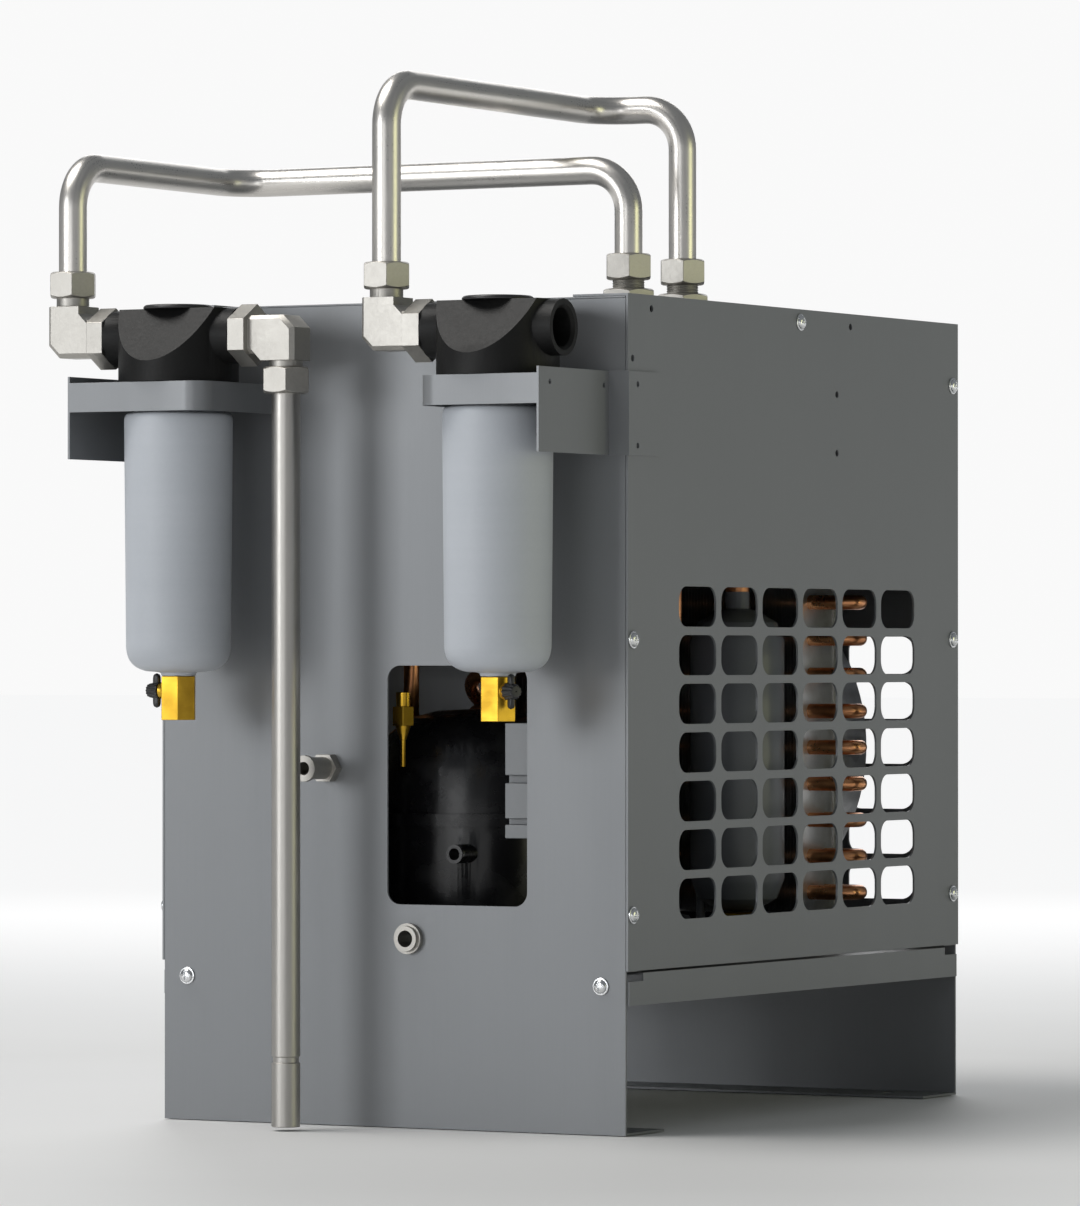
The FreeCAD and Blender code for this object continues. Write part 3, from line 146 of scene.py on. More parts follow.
def hexed(centre, axis, flats, length, bore, first_flat=0.0, chamfer=0.93):
    """Hexagon with its corners turned off at 30 degrees: a flat's end lies (reach - face) tan 30 from the face."""
    t = np.arange(96) / 96 * TURN
    reach = hexagon_reach(t - math.radians(first_flat), flats)
    face = np.full_like(t, flats / 2 * chamfer)
    low = (reach - face) * math.tan(math.radians(30))
    hole, zero = np.full_like(t, bore), np.zeros_like(t)
    radius = np.stack([hole, face, reach, reach, face, hole])
    height = np.stack([zero, zero, low, length - low, zero + length, zero + length])
    ring, along = around(axis, t)
    points = np.asarray(centre, float) + radius[..., None] * ring + height[..., None] * along
    return grid(points, wrap_rows=True)


def threaded(centre, axis, radius, length, pitch=1.5, depth=0.55, bore=7.0):
    """Threaded neck: r = R - depth (1 - cos(2 pi h / pitch - t)) / 2, closed by its bore."""
    t = np.arange(40) / 40 * TURN
    h = np.linspace(0, length, int(length / pitch * 6) + 1)
    wave = radius - depth * (0.5 - 0.5 * np.cos(TURN * h[:, None] / pitch - t))
    radii = np.vstack([np.full_like(t, bore), wave, np.full_like(t, bore)])
    heights = np.concatenate([[0], h, [length]])
    ring, along = around(axis, t)
    points = np.asarray(centre, float) + radii[..., None] * ring + heights[:, None, None] * along
    return grid(points, wrap_rows=True)


def bent(corners, bend, steps=12):
    """Line of a bent pipe: straight runs joined by arcs of radius bend, centre on the corner's bisector."""
    line = [np.asarray(corners[0], float)]
    for before, corner, after in zip(corners, corners[1:], corners[2:]):
        corner = np.asarray(corner, float)
        back = (before - corner) / np.linalg.norm(before - corner)
        on = (after - corner) / np.linalg.norm(after - corner)
        half = math.acos(float(np.clip(back.dot(on), -1, 1))) / 2
        centre = corner + (back + on) / np.linalg.norm(back + on) * bend / math.sin(half)
        start = corner + back * bend / math.tan(half) - centre
        angle = np.linspace(0, math.pi - 2 * half, steps)[:, None]
        line.extend(centre + np.cos(angle) * start - np.sin(angle) * bend * back)
    line.append(np.asarray(corners[-1], float))
    return np.array(line)


def ring_frames(line):
    """Directions square to a line, carried along it without twist, one step at a time."""
    tangent = np.gradient(line, axis=0)
    tangent /= np.linalg.norm(tangent, axis=1, keepdims=True)
    side = [axis_frame(tangent[0])[0]]
    for t in tangent[1:]:
        turned_side = side[-1] - t * side[-1].dot(t)
        side.append(turned_side / np.linalg.norm(turned_side))
    side = np.array(side)
    return side, np.cross(tangent, side)


def pipe(line, radius, bore=0.0, sides=32, rim=0.5):
    """Pipe along a line: point = line + r cos(t) side + r sin(t) across, back inside at the bore."""
    line = np.asarray(line, float)
    side, across = ring_frames(line)
    run = np.concatenate([[0], np.cumsum(np.linalg.norm(np.diff(line, axis=0), axis=1))])
    t = np.arange(sides) / sides * TURN
    ring = np.cos(t)[None, :, None] * side[:, None] + np.sin(t)[None, :, None] * across[:, None]
    ends = (line[1] - line[0], line[-1] - line[-2])
    step = [rim * e / np.linalg.norm(e) for e in ends]
    outer = line[:, None] + radius * ring
    outer[0] = line[0] + step[0] + radius * ring[0]
    outer[-1] = line[-1] - step[1] + radius * ring[-1]
    first, last = line[0] + (radius - rim) * ring[0], line[-1] + (radius - rim) * ring[-1]
    if bore:
        inner = (line[:, None] + bore * ring)[::-1]
        rows = np.concatenate([first[None], outer, last[None], inner])
        length = np.concatenate([[0], run, [run[-1]], run[::-1]])
    else:
        middle = [np.repeat(line[i][None], sides, 0)[None] for i in (0, -1)]
        rows = np.concatenate([middle[0], first[None], outer, last[None], middle[1]])
        length = np.concatenate([[0, 0], run, [run[-1], run[-1]]])
    drawn = np.stack([np.broadcast_to(radius * np.cos(t), (len(rows), sides)),
                      np.broadcast_to(radius * np.sin(t), (len(rows), sides)),
                      np.broadcast_to(length[:, None], (len(rows), sides))], -1)
    return grid(rows, wrap_rows=bool(bore), drawn=drawn)


def hoop(centre, axis, radius, wire, sides=96, round_sides=10):
    """Ring of wire: r = R + w cos(s), h = w sin(s)."""
    s = np.arange(round_sides) / round_sides * TURN
    profile = np.stack([radius + wire * np.cos(s), wire * np.sin(s)], -1)
    return turned(profile, centre, axis, sides, closed=True)


def block(low, high, round_off=0.0):
    """Slab as a closed band: four rings of a rounded rectangle, drawn in at the top and bottom by the rounding."""
    low, high = np.asarray(low, float), np.asarray(high, float)
    middle, half = (low + high) / 2, (high - low) / 2
    r = max(round_off, 0.01)
    quarter, step = np.divmod(np.arange(16), 4)
    t = (quarter * 90 + step * 30) * math.pi / 180
    sign_x = np.array([1, -1, -1, 1])[quarter]
    sign_y = np.array([1, 1, -1, -1])[quarter]
    rings = []
    for level, inset in ((-half[2], 1.0), (-half[2] + r * 0.3, 0.3), (-half[2] + r, 0.0),
                         (half[2] - r, 0.0), (half[2] - r * 0.3, 0.3), (half[2], 1.0)):
        grow = r * (1 - inset)
        x = sign_x * (half[0] - r) + grow * np.cos(t)
        y = sign_y * (half[1] - r) + grow * np.sin(t)
        rings.append(np.stack([x, y, np.full_like(x, level)], -1) + middle)
    cap = [np.repeat(ring.mean(0)[None], 16, 0) for ring in (rings[0], rings[-1])]
    return grid(np.stack([cap[0]] + rings + [cap[1]]))


# ---------------------------------------------------------------- pieces

def finish_mesh(mesh, sharp_angle):
    """Doubles merged, faces turned outwards, smooth up to the sharp angle."""
    work = bmesh.new()
    work.from_mesh(mesh)
    bmesh.ops.remove_doubles(work, verts=work.verts, dist=1e-6)
    bmesh.ops.dissolve_degenerate(work, edges=work.edges, dist=1e-7)
    bmesh.ops.recalc_face_normals(work, faces=work.faces)
    work.to_mesh(mesh)
    work.free()
    mesh.shade_smooth()
    mesh.set_sharp_from_angle(angle=math.radians(sharp_angle))


def add_piece(name, mesh, body, finish, nodes, bevel=0.0):
    """One visible piece: on a body, with its finish, standing for CAD nodes."""
    piece = bpy.data.objects.new(name, mesh)
    bpy.context.scene.collection.objects.link(piece)
    mesh.materials.clear()
    mesh.materials.append(finish)
    if bevel:
        edge = piece.modifiers.new("edges", "BEVEL")
        edge.width = bevel * MM
        edge.segments = 2
        edge.limit_method = "ANGLE"
        edge.angle_limit = math.radians(32)
        edge.harden_normals = True
        edge.miter_outer = "MITER_ARC"
    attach(piece, body)
    if nodes:
        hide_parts(*nodes)


def build(name, surfaces, body, finish, nodes=(), sharp=32, bevel=0.0):
    """A piece from numpy surfaces, with the drawn direction kept as an attribute."""
    points, faces, drawn, start = [], [], [], 0
    for item in surfaces:
        rows, columns = item["points"].shape[:2]
        points.append(item["points"].reshape(-1, 3))
        faces.append(grid_faces(rows, columns, item["wrap"]) + start)
        drawn.append(points[-1] if item["drawn"] is None else item["drawn"].reshape(-1, 3))
        start += rows * columns
    mesh = bpy.data.meshes.new(name)
    mesh.from_pydata(np.concatenate(points) * MM, [], np.concatenate(faces).tolist())
    layer = mesh.attributes.new("drawn", "FLOAT_VECTOR", "POINT")
    layer.data.foreach_set("vector", (np.concatenate(drawn) * MM).ravel())
    finish_mesh(mesh, sharp)
    add_piece(name, mesh, body, finish, nodes, bevel)


def refined(node, body, finish, bevel=0.0, sharp=28):
    """A CAD node's own form with its triangles joined, its edges rounded and its curves smooth."""
    mesh = frame["nodes"][node].data.copy()
    mesh.name = node + "_form"
    work = bmesh.new()
    work.from_mesh(mesh)
    bmesh.ops.remove_doubles(work, verts=work.verts, dist=2e-6)
    bmesh.ops.dissolve_degenerate(work, edges=work.edges, dist=1e-6)
    bmesh.ops.dissolve_limit(work, angle_limit=math.radians(0.4), verts=work.verts, edges=work.edges)
    work.to_mesh(mesh)
    work.free()
    mesh.shade_smooth()
    mesh.set_sharp_from_angle(angle=math.radians(sharp))
    add_piece(mesh.name, mesh, body, finish, [node], bevel)


# ---------------------------------------------------------------- finishes

class Wire:
    """One output of a shader node; sums and products on it add Math nodes."""

    def __init__(self, finish, socket):
        self.finish, self.socket = finish, socket

    def worked(self, operation, *terms):
        return self.finish.node("ShaderNodeMath", {"operation": operation}, dict(enumerate(terms)))

    def __add__(self, other):
        return self.worked("ADD", self, other)

    def __sub__(self, other):
        return self.worked("SUBTRACT", self, other)

    def __rsub__(self, other):
        return self.worked("SUBTRACT", other, self)

    def __mul__(self, other):
        return self.worked("MULTIPLY", self, other)

    __radd__, __rmul__ = __add__, __mul__

    def between(self, low, high):
        """0 below low, 1 above high, and a straight ramp between them."""
        return self.finish.node("ShaderNodeMapRange", {"clamp": True},
                                {"Value": self, "From Min": low, "From Max": high})


class Finish:
    """A procedural material in the making."""

    def __init__(self, name):
        self.material = bpy.data.materials.new(name)
        self.material.use_nodes = True
        self.tree = self.material.node_tree
        self.tree.nodes.clear()

    def node(self, kind, settings=None, sockets=None, output=0):
        """Any node: its settings first, then the values or links of its sockets."""
        added = self.tree.nodes.new(kind)
        for key, item in (settings or {}).items():
            if key == "stops":
                ramp = added.color_ramp
                while len(ramp.elements) < len(item):
                    ramp.elements.new(0.5)
                for element, (place, colour) in zip(ramp.elements, item):
                    element.position, element.color = place, (*colour, 1)
            else:
                setattr(added, key, item)
        for key, item in (sockets or {}).items():
            if isinstance(item, Wire):
                self.tree.links.new(item.socket, added.inputs[key])
            else:
                plain_colour = added.inputs[key].type == "RGBA" and len(item) == 3
                added.inputs[key].default_value = (*item, 1) if plain_colour else item
        return Wire(self, added.outputs[output]) if added.outputs else None

    def coordinates(self, stretch=(1, 1, 1), drawn=False):
        """Object coordinates, or the drawn direction, stretched."""
        if drawn:
            source = self.node("ShaderNodeAttribute", {"attribute_name": "drawn"}, output=1)
        else:
            source = self.node("ShaderNodeTexCoord", output=3)
        return self.node("ShaderNodeMapping", {"vector_type": "POINT"}, {"Vector": source, "Scale": stretch})

    def noise(self, where, scale, detail=3.0, rough=0.5):
        return self.node("ShaderNodeTexNoise", None, {"Vector": where, "Scale": scale, "Detail": detail,
                                                      "Roughness": rough})

    def cells(self, where, scale, output=0):
        return self.node("ShaderNodeTexVoronoi", {"feature": "F1"}, {"Vector": where, "Scale": scale}, output)

    def mixed(self, share, first, second):
        return self.node("ShaderNodeMix", {"data_type": "RGBA"}, {0: share, 6: first, 7: second}, output=2)

    def height(self):
        """Object height in metres."""
        return self.node("ShaderNodeSeparateXYZ", None, {0: self.node("ShaderNodeTexCoord", output=3)}, 2)

    def surface(self, colour, rough, metal=0.0, relief=(), **fixed):
        """The shader: relief is a list of (height wire, distance in metres, strength)."""
        normal = None
        for wire, distance, strength in relief:
            sockets = {"Height": wire, "Distance": distance, "Strength": strength}
            if normal is not None:
                sockets["Normal"] = normal
            normal = self.node("ShaderNodeBump", None, sockets)
        sockets = {"Base Color": colour, "Roughness": rough, "Metallic": metal}
        sockets.update({key.replace("_", " "): item for key, item in fixed.items()})
        if normal is not None:
            sockets["Normal"] = normal
        shader = self.node("ShaderNodeBsdfPrincipled", None, sockets)
        self.node("ShaderNodeOutputMaterial", None, {"Surface": shader})
        return self.material


def toned(tone, share, lift=0.0):
    """A tone scaled and lifted, no channel above 1."""
    return tuple(min(c * share + lift, 1) for c in tone)


def sheet_paint(name, tone, metal=0.35, rough=0.42):
    """Satin grey coating on brushed sheet: long upright brush lines, soft upright bands of painted reflection that
    also vary the gloss, fine grain, slight mottle, dust low down.
    """
    f = Finish(name)
    lines = f.noise(f.coordinates((1, 1, 0.012)), 900, 2)
    # soft upright bands: painted reflection in the colour, and gloss that varies
    bands = f.noise(f.coordinates((1, 1, 0.05)), 24, 2)
    grain = f.noise(f.coordinates(), 1400, 2)
    mottle = f.noise(f.coordinates(), 9, 4)
    dust = (1 - f.height().between(0.0, 0.05)) * f.noise(f.coordinates(), 60, 4)
    shade = (mottle - 0.5) * 0.22 + (bands - 0.5) * 0.20 + (lines - 0.5) * 0.16 + 0.5
    clean = f.mixed(shade, toned(tone, 0.86), toned(tone, 1.14))
    colour = f.mixed(dust * 0.35, clean, toned(tone, 0.7, 0.05))
    return f.surface(colour, (bands - 0.5) * 0.12 + (grain - 0.5) * 0.1 + rough, metal,
                     [(grain, 0.00005, 0.25), (lines, 0.00004, 0.2)])


def bare_steel(name, tone, rough=0.34, grain_size=700, speckle=0.10, drawn=False):
    """Plated or stainless steel: sandy grain for forgings, long drawn lines on pipes."""
    f = Finish(name)
    grain = f.noise(f.coordinates(), grain_size, 4, 0.65)
    patch = f.noise(f.coordinates(), 30, 3)
    relief = [(grain, 0.00012, 0.35)]
    shade = (grain - 0.5) * speckle * 4 + (patch - 0.5) * 0.35 + 0.5
    gloss = (grain - 0.5) * 0.25 + (patch - 0.5) * 0.16 + rough
    if drawn:
        lines = f.noise(f.coordinates((1, 1, 0.02), drawn=True), 700, 3)
        shade = shade + (lines - 0.5) * 0.5
        gloss = gloss + (lines - 0.5) * 0.2
        relief = [(grain, 0.00006, 0.15), (lines, 0.00005, 0.2)]
    colour = f.mixed(shade, toned(tone, 0.78), toned(tone, 1.15))
    return f.surface(colour, gloss, 1.0, relief)


def moulded(name, tone, rough=0.4, relief=0.00008, scale=900, spread=0.12):
    """Moulded plastic or paint with a fine stipple and a slight mottle."""
    f = Finish(name)
    stipple = f.cells(f.coordinates(), scale)
    mottle = f.noise(f.coordinates(), 14, 4)
    shade = (mottle - 0.5) * 1.2 + 0.5
    colour = f.mixed(shade, toned(tone, 1 - spread), toned(tone, 1 + spread))
    return f.surface(colour, (mottle - 0.5) * 0.18 + (stipple - 0.4) * 0.06 + rough, 0.0,
                     [(stipple, relief, 0.3)])


def cast_paint():
    """Black paint over a casting: sandy relief, greyer where it is worn."""
    f = Finish("cast black paint")
    sand = f.noise(f.coordinates(), 520, 5, 0.7)
    patch = f.noise(f.coordinates(), 22, 4)
    worn = (patch * 0.6 + sand * 0.4).between(0.50, 0.66)
    colour = f.mixed(worn * 0.5, (0.005, 0.005, 0.005), (0.016, 0.016, 0.015))
    return f.surface(colour, (sand - 0.5) * 0.25 + 0.48, 0.0, [(sand, 0.00022, 0.4)], Specular_IOR_Level=0.2)


def bowl_coat():
    """Light blue-grey powder coat on the bowls: fine orange peel and faint rings from spinning."""
    f = Finish("bowl powder coat")
    peel = f.noise(f.coordinates(), 420, 3)
    rings = f.noise(f.coordinates((0.02, 0.02, 1)), 160, 2)
    patch = f.noise(f.coordinates(), 12, 3)
    shade = (patch - 0.5) * 0.7 + (rings - 0.5) * 0.35 + (peel - 0.5) * 0.3 + 0.5
    colour = f.mixed(shade, (0.40, 0.425, 0.46), (0.48, 0.505, 0.54))
    return f.surface(colour, (peel - 0.5) * 0.16 + (patch - 0.5) * 0.1 + 0.52, 0.0,
                     [(peel, 0.00008, 0.3), (rings, 0.00004, 0.15)])


def brass_finish():
    """Turned brass: fine tool lines and patches that have dulled."""
    f = Finish("turned brass")
    lines = f.noise(f.coordinates((0.03, 0.03, 1)), 1400, 2)
    patch = f.noise(f.coordinates(), 60, 4)
    colour = f.mixed(patch.between(0.35, 0.7), (0.70, 0.43, 0.045), (0.48, 0.28, 0.028))
    return f.surface(colour, (patch - 0.5) * 0.3 + (lines - 0.5) * 0.15 + 0.33, 1.0,
                     [(lines, 0.00004, 0.2), (patch, 0.00008, 0.2)])


def copper_finish():
    """Copper tube: warm, with darker heat stains and a fine grain."""
    f = Finish("copper tube")
    patch = f.noise(f.coordinates(), 45, 5)
    fine = f.noise(f.coordinates(), 500, 3)
    colour = f.mixed(patch.between(0.4, 0.72), (0.86, 0.42, 0.20), (0.42, 0.17, 0.075))
    return f.surface(colour, (patch - 0.5) * 0.35 + (fine - 0.5) * 0.12 + 0.3, 1.0, [(fine, 0.00005, 0.2)])


def spangled(name, tone):
    """Galvanised sheet: crystals of differing grey with soft borders."""
    f = Finish(name)
    warp = f.noise(f.coordinates(), 90, 2)
    crystal = f.node("ShaderNodeSeparateColor", None, {0: f.cells(f.coordinates(), 110, output=1)})
    fine = f.noise(f.coordinates(), 800, 3)
    colour = f.mixed(crystal * 0.7 + warp * 0.3, toned(tone, 0.75), toned(tone, 1.15))
    return f.surface(colour, crystal * 0.16 + (fine - 0.5) * 0.1 + 0.34, 0.9, [(fine, 0.00004, 0.2)])


def enamel(name, tone, rough=0.16):
    """Thick gloss enamel with a slight orange peel and dust."""
    f = Finish(name)
    peel = f.noise(f.coordinates(), 260, 2)
    dust = f.noise(f.coordinates(), 70, 5)
    colour = f.mixed(dust.between(0.52, 0.85) * 0.22, tone, toned(tone, 0.6, 0.05))
    return f.surface(colour, dust.between(0.45, 0.85) * 0.2 + rough, 0.0, [(peel, 0.0001, 0.2)])


def rubber():
    """Matt rubber with a fine grain and a bloom."""
    f = Finish("black rubber")
    fine = f.noise(f.coordinates(), 900, 4)
    bloom = f.noise(f.coordinates(), 40, 4)
    colour = f.mixed(bloom, (0.012, 0.012, 0.012), (0.035, 0.035, 0.036))
    return f.surface(colour, (fine - 0.5) * 0.15 + 0.72, 0.0, [(fine, 0.00008, 0.35)])


def closed_foam():
    """Closed-cell foam cover: small cells and a skin with low lumps."""
    f = Finish("foam cover")
    small = f.cells(f.coordinates(), 420)
    lumps = f.noise(f.coordinates(), 35, 4)
    colour = f.mixed(lumps, (0.018, 0.018, 0.02), (0.05, 0.05, 0.054))
    return f.surface(colour, small * 0.2 + 0.66, 0.0, [(lumps, 0.0008, 0.4), (small, 0.0003, 0.4)])


def drain_hose():
    """Milky plastic hose."""
    f = Finish("drain hose plastic")
    cloud = f.noise(f.coordinates(), 80, 4)
    colour = f.mixed(cloud, (0.50, 0.54, 0.56), (0.68, 0.71, 0.72))
    return f.surface(colour, (cloud - 0.5) * 0.2 + 0.35, 0.0, [(cloud, 0.00006, 0.2)])


def felt_media():
    """Filter sleeve: pressed fibres."""
    f = Finish("filter sleeve")
    fibres = f.noise(f.coordinates((1, 1, 0.3)), 1200, 4, 0.7)
    patch = f.noise(f.coordinates(), 40, 4)
    colour = f.mixed(fibres * 0.6 + patch * 0.4, (0.52, 0.50, 0.44), (0.86, 0.84, 0.78))
    return f.surface(colour, fibres * 0.2 + 0.75, 0.0, [(fibres, 0.0003, 0.5)], Sheen_Weight=0.3)


def rolled_fins():
    """Thin rolled aluminium, dull with patches of dust."""
    f = Finish("rolled fin aluminium")
    roll = f.noise(f.coordinates((1, 0.05, 1)), 500, 2)
    dust = f.noise(f.coordinates(), 50, 4)
    colour = f.mixed(dust.between(0.4, 0.75) * 0.6, (0.72, 0.73, 0.74), (0.34, 0.33, 0.31))
    return f.surface(colour, (roll - 0.5) * 0.2 + dust * 0.2 + 0.3, 1.0, [(roll, 0.00004, 0.2)])


def rocker_plastic():
    """Red moulded plastic of the switch."""
    f = Finish("switch red")
    cloud = f.noise(f.coordinates(), 120, 3)
    colour = f.mixed(cloud, (0.42, 0.012, 0.010), (0.58, 0.03, 0.02))
    return f.surface(colour, (cloud - 0.5) * 0.12 + 0.25, 0.0, [(cloud, 0.00004, 0.15)])


FINISHES = {
    "cabinet_paint": sheet_paint("cabinet sheet", (0.205, 0.213, 0.222)),
    "zinc_screw": bare_steel("zinc screws", (0.80, 0.81, 0.82), 0.22, 1500, 0.05),
    "black_shell": enamel("compressor enamel", (0.007, 0.007, 0.008), 0.24),
    "black_rubber": rubber(),
    "grey_plastic": moulded("grey control plastic", (0.19, 0.20, 0.21)),
    "copper": copper_finish(),
    "brass": brass_finish(),
    "fin_aluminium": rolled_fins(),
    "galvanised": spangled("galvanised sheet", (0.55, 0.56, 0.57)),
    "black_paint": enamel("black wire paint", (0.014, 0.014, 0.015), 0.3),
    "fan_plastic": moulded("black fan plastic", (0.020, 0.020, 0.022), 0.36),
    "foam_cover": closed_foam(),
    "grey_tank": moulded("grey tank paint", (0.14, 0.15, 0.165), 0.34, 0.00006, 500),
    "black_plastic": moulded("black moulded plastic", (0.014, 0.014, 0.015), 0.38),
    "hose_plastic": drain_hose(),
    "steel_fitting": bare_steel("forged fitting steel", (0.44, 0.425, 0.395), 0.46, 560, 0.26),
    "steel_pipe": bare_steel("drawn pipe steel", (0.69, 0.665, 0.63), 0.33, 900, 0.05, drawn=True),
    "switch_red": rocker_plastic(),
    "head_black": cast_paint(),
    "bowl_paint": bowl_coat(),
    "filter_media": felt_media(),
}
# Riser steel: a rougher copy of the drawn pipe steel, with a darker tone that is painted shade.
RISER_STEEL_WITH_PAINTED_SHADE = bare_steel("duller riser steel with painted shade", (0.46, 0.445, 0.42), 0.40, 900, 0.06, drawn=True)
SLOT_OF = {entry["node"]: entry["material_slot"] for entry in frame["record"]["subparts"]}
BODY_OF = {node: body for body, nodes in frame["record"]["behaviour"]["bodies"].items() for node in nodes}

# every CAD node that stays visible gets its finish
for node, thing in frame["nodes"].items():
    thing.data.materials.clear()
    thing.data.materials.append(FINISHES[SLOT_OF[node]])


# ---------------------------------------------------------------- pieces of the dryer

def made(node, surfaces, finish=None, sharp=32, bevel=0.0):
    """A numpy piece for a CAD node, on its body and with its slot's finish."""
    slot = SLOT_OF[node]
    build(node + "_form", surfaces, BODY_OF[node], finish or FINISHES[slot], [node], sharp, bevel)


def smoothed(node, bevel=0.0, sharp=28):
    """The CAD node's own form, rounded and smooth."""
    slot = SLOT_OF[node]
    refined(node, BODY_OF[node], FINISHES[slot], bevel, sharp)


def cabinet():
    """Panels, cover, tray and brackets, their sheet edges just broken."""
    for node in ("front_panel", "rear_panel", "right_side_panel", "left_side_panel", "top_cover", "base_tray",
                 "left_bracket", "right_bracket"):
        smoothed(node, 0.35)


def screw(place, axis):
    """Washer, domed head and a cross recess: the dome is sunk where either arm of the cross runs over it."""
    sides, head, washer_top, rise = 72, 4.45, 1.1, 2.3
    arm_long, arm_half, depth = 2.5, 0.62, 1.1
    washer = turned([(2.1, 0), (5.55, 0), (5.55, 0.9), (5.2, washer_top), (3, washer_top), (2.1, washer_top)],
                    place, axis, 40, soft=0.25)
    t = np.arange(sides) / sides * TURN
    share = np.linspace(0, 1, 26)[1:, None]
    dome = washer_top + rise * np.sqrt(np.clip(1 - (share * 0.985) ** 2.6, 0, 1)) + 0 * t
    x, y = head * share * np.cos(t), head * share * np.sin(t)
    arm = np.minimum(np.maximum(abs(x) / arm_long, abs(y) / arm_half),
                     np.maximum(abs(y) / arm_long, abs(x) / arm_half))
    sink = np.clip((1.15 - arm) / 0.3, 0, 1) * depth
    height = np.vstack([np.full((1, sides), rise), dome - sink, np.full((1, sides), washer_top - 0.05)])
    x, y = np.vstack([0 * t, x, x[-1:]]), np.vstack([0 * t, y, y[-1:]])
    side, across, along = axis_frame(axis)
    points = np.asarray(place, float) + x[..., None] * side + y[..., None] * across + height[..., None] * along
    shank = turned([(0, 1.0), (2, 1.0), (2, -4.5), (1.4, -5), (0, -5)], place, axis, 16)
    return [washer, grid(points), shank]


def screws():
    """Two screws at the foot of the front and rear panels, six on each side panel."""
    parts = []
    for x in (-151, 151):
        parts += screw((x, -CABINET_Y, 91.8), (0, -1, 0)) + screw((x, CABINET_Y, 91.8), (0, 1, 0))
    front, rear = -CABINET_Y + 6, CABINET_Y - 9
    for sign in (-1, 1):
        for y, z in ((front, 306), (front, 136), (rear, 478), (rear, 307), (rear, 136), (-0.5, 511.6)):
            parts += screw((sign * CABINET_X, y, z), (sign, 0, 0))
    made("panel_screws", parts, sharp=40)


def pipes():
    """The two loops over the cover, the riser with its stop groove, the nuts, elbows and top fittings."""
    left, right = FILTERS["left"][0] - PORT_REACH, FILTERS["right"][0] - PORT_REACH
    for node, x, y, top in (("left_loop_pipe", left, INLET_Y, 608), ("right_loop_pipe", right, OUTLET_Y, 652)):
        route = [(x, FILTER_Y, 531.8), (x, FILTER_Y, top), (x, y, top), (TOP_PORT_X, y, top), (TOP_PORT_X, y, 545.4)]
        route = [np.array(corner, float) for corner in route]
        made(node, [pipe(bent(route, TUBE_BEND, 14), TUBE, TUBE_BORE, 40)])
    riser = FILTERS["left"][0] + PORT_REACH
    wall = [(TUBE_BORE, 2), (TUBE_RIM, 2), (TUBE, 2.4), (TUBE, 41.8), (GROOVE, 42.4), (GROOVE, 45.6), (TUBE, 46.2),
            (TUBE, RISER_TOP - 0.4), (TUBE_RIM, RISER_TOP), (TUBE_BORE, RISER_TOP)]
    # the riser's darker steel is painted shade
    made("riser_pipe", [turned(wall, (riser, FILTER_Y, 0), sides=48, closed=True)], finish=RISER_STEEL_WITH_PAINTED_SHADE)
    nuts = [((left, FILTER_Y, 523.4), 1), ((right, FILTER_Y, 523.4), 1), ((riser, FILTER_Y, 476.7), -1),
            ((TOP_PORT_X, INLET_Y, 537), 1), ((TOP_PORT_X, OUTLET_Y, 537), 1)]
    made("pipe_nuts", [hexed(place, (0, 0, way), NUT_FLATS, NUT_LENGTH, NUT_BORE, HEX_TURN) for place, way in nuts],
         bevel=0.3)
    for node in ("left_elbow", "right_elbow", "riser_elbow"):
        smoothed(node, 0.9, sharp=30)
    for node, y in (("air_inlet_fitting", INLET_Y), ("air_outlet_fitting", OUTLET_Y)):
        upper_hexagon, upper_thread, lower_hexagon, lower_thread = (
            (TOP_PORT_X, y, z) for z in (518.7, 530.6, 508, 481))
        made(node, [hexed(upper_hexagon, UP, FITTING_FLATS, 12.4, FITTING_BORE, HEX_TURN),
                    threaded(upper_thread, UP, 10.4, 14),
                    hexed(lower_hexagon, UP, FITTING_FLATS, 8, FITTING_BORE, HEX_TURN),
                    threaded(lower_thread, UP, 12, 37)], bevel=0.25)


def drain_knob(axis_x, heading):
    """Wing knob: a tapered ribbed hub, r = R + 0.3 cos 12t, and a rounded wing across it."""
    turn = math.radians(heading)
    outward = np.array([math.cos(turn), math.sin(turn), 0])
    seat = np.array([axis_x, FILTER_Y, DRAIN_KNOB_Z])
    t = np.arange(72) / 72 * TURN
    stem, hub_end = 3, 22.3
    profile = softened([(0.5, 7), (2.2, 7), (2.2, 13.3), (5.6, 13.3), (5.2, 16), (3.9, hub_end), (0.5, hub_end)], 0.8)
    ribs = np.where((profile[:, 0] > stem)[:, None], 0.3 * np.cos(12 * t), 0)
    ring, along = around(outward, t)
    hub = seat + (profile[:, :1] + ribs)[..., None] * ring + profile[:, 1][:, None, None] * along
    wing = wing_form()
    level = np.cross(outward, UP)
    wing = seat + wing[..., :1] * outward + wing[..., 1:2] * level + wing[..., 2:] * np.array(UP, float)
    return [grid(hub), grid(wing)]


def wing_form():
    """Wing across the hub: rings of a superellipse |x/a|^3 + |y/b|^3 = 1 that narrow at the waist and the ends."""
    h = np.linspace(-1, 1, 29)[:, None]
    t = (np.arange(28) / 28 * TURN)[None, :]
    ends = np.sqrt(np.clip(1 - np.abs(h) ** 7, 0.0, 1))
    half_x, half_y = 2.5 * ends, (1.7 + 0.75 * h ** 2) * ends
    bulge = (np.abs(np.cos(t)) ** 3 + np.abs(np.sin(t)) ** 3) ** (-1 / 3)
    seat_out, half_span = 16.1, 10.95
    x, y = seat_out + half_x * bulge * np.cos(t), half_y * bulge * np.sin(t)
    return np.stack([x, y, h * half_span + 0 * t], -1)


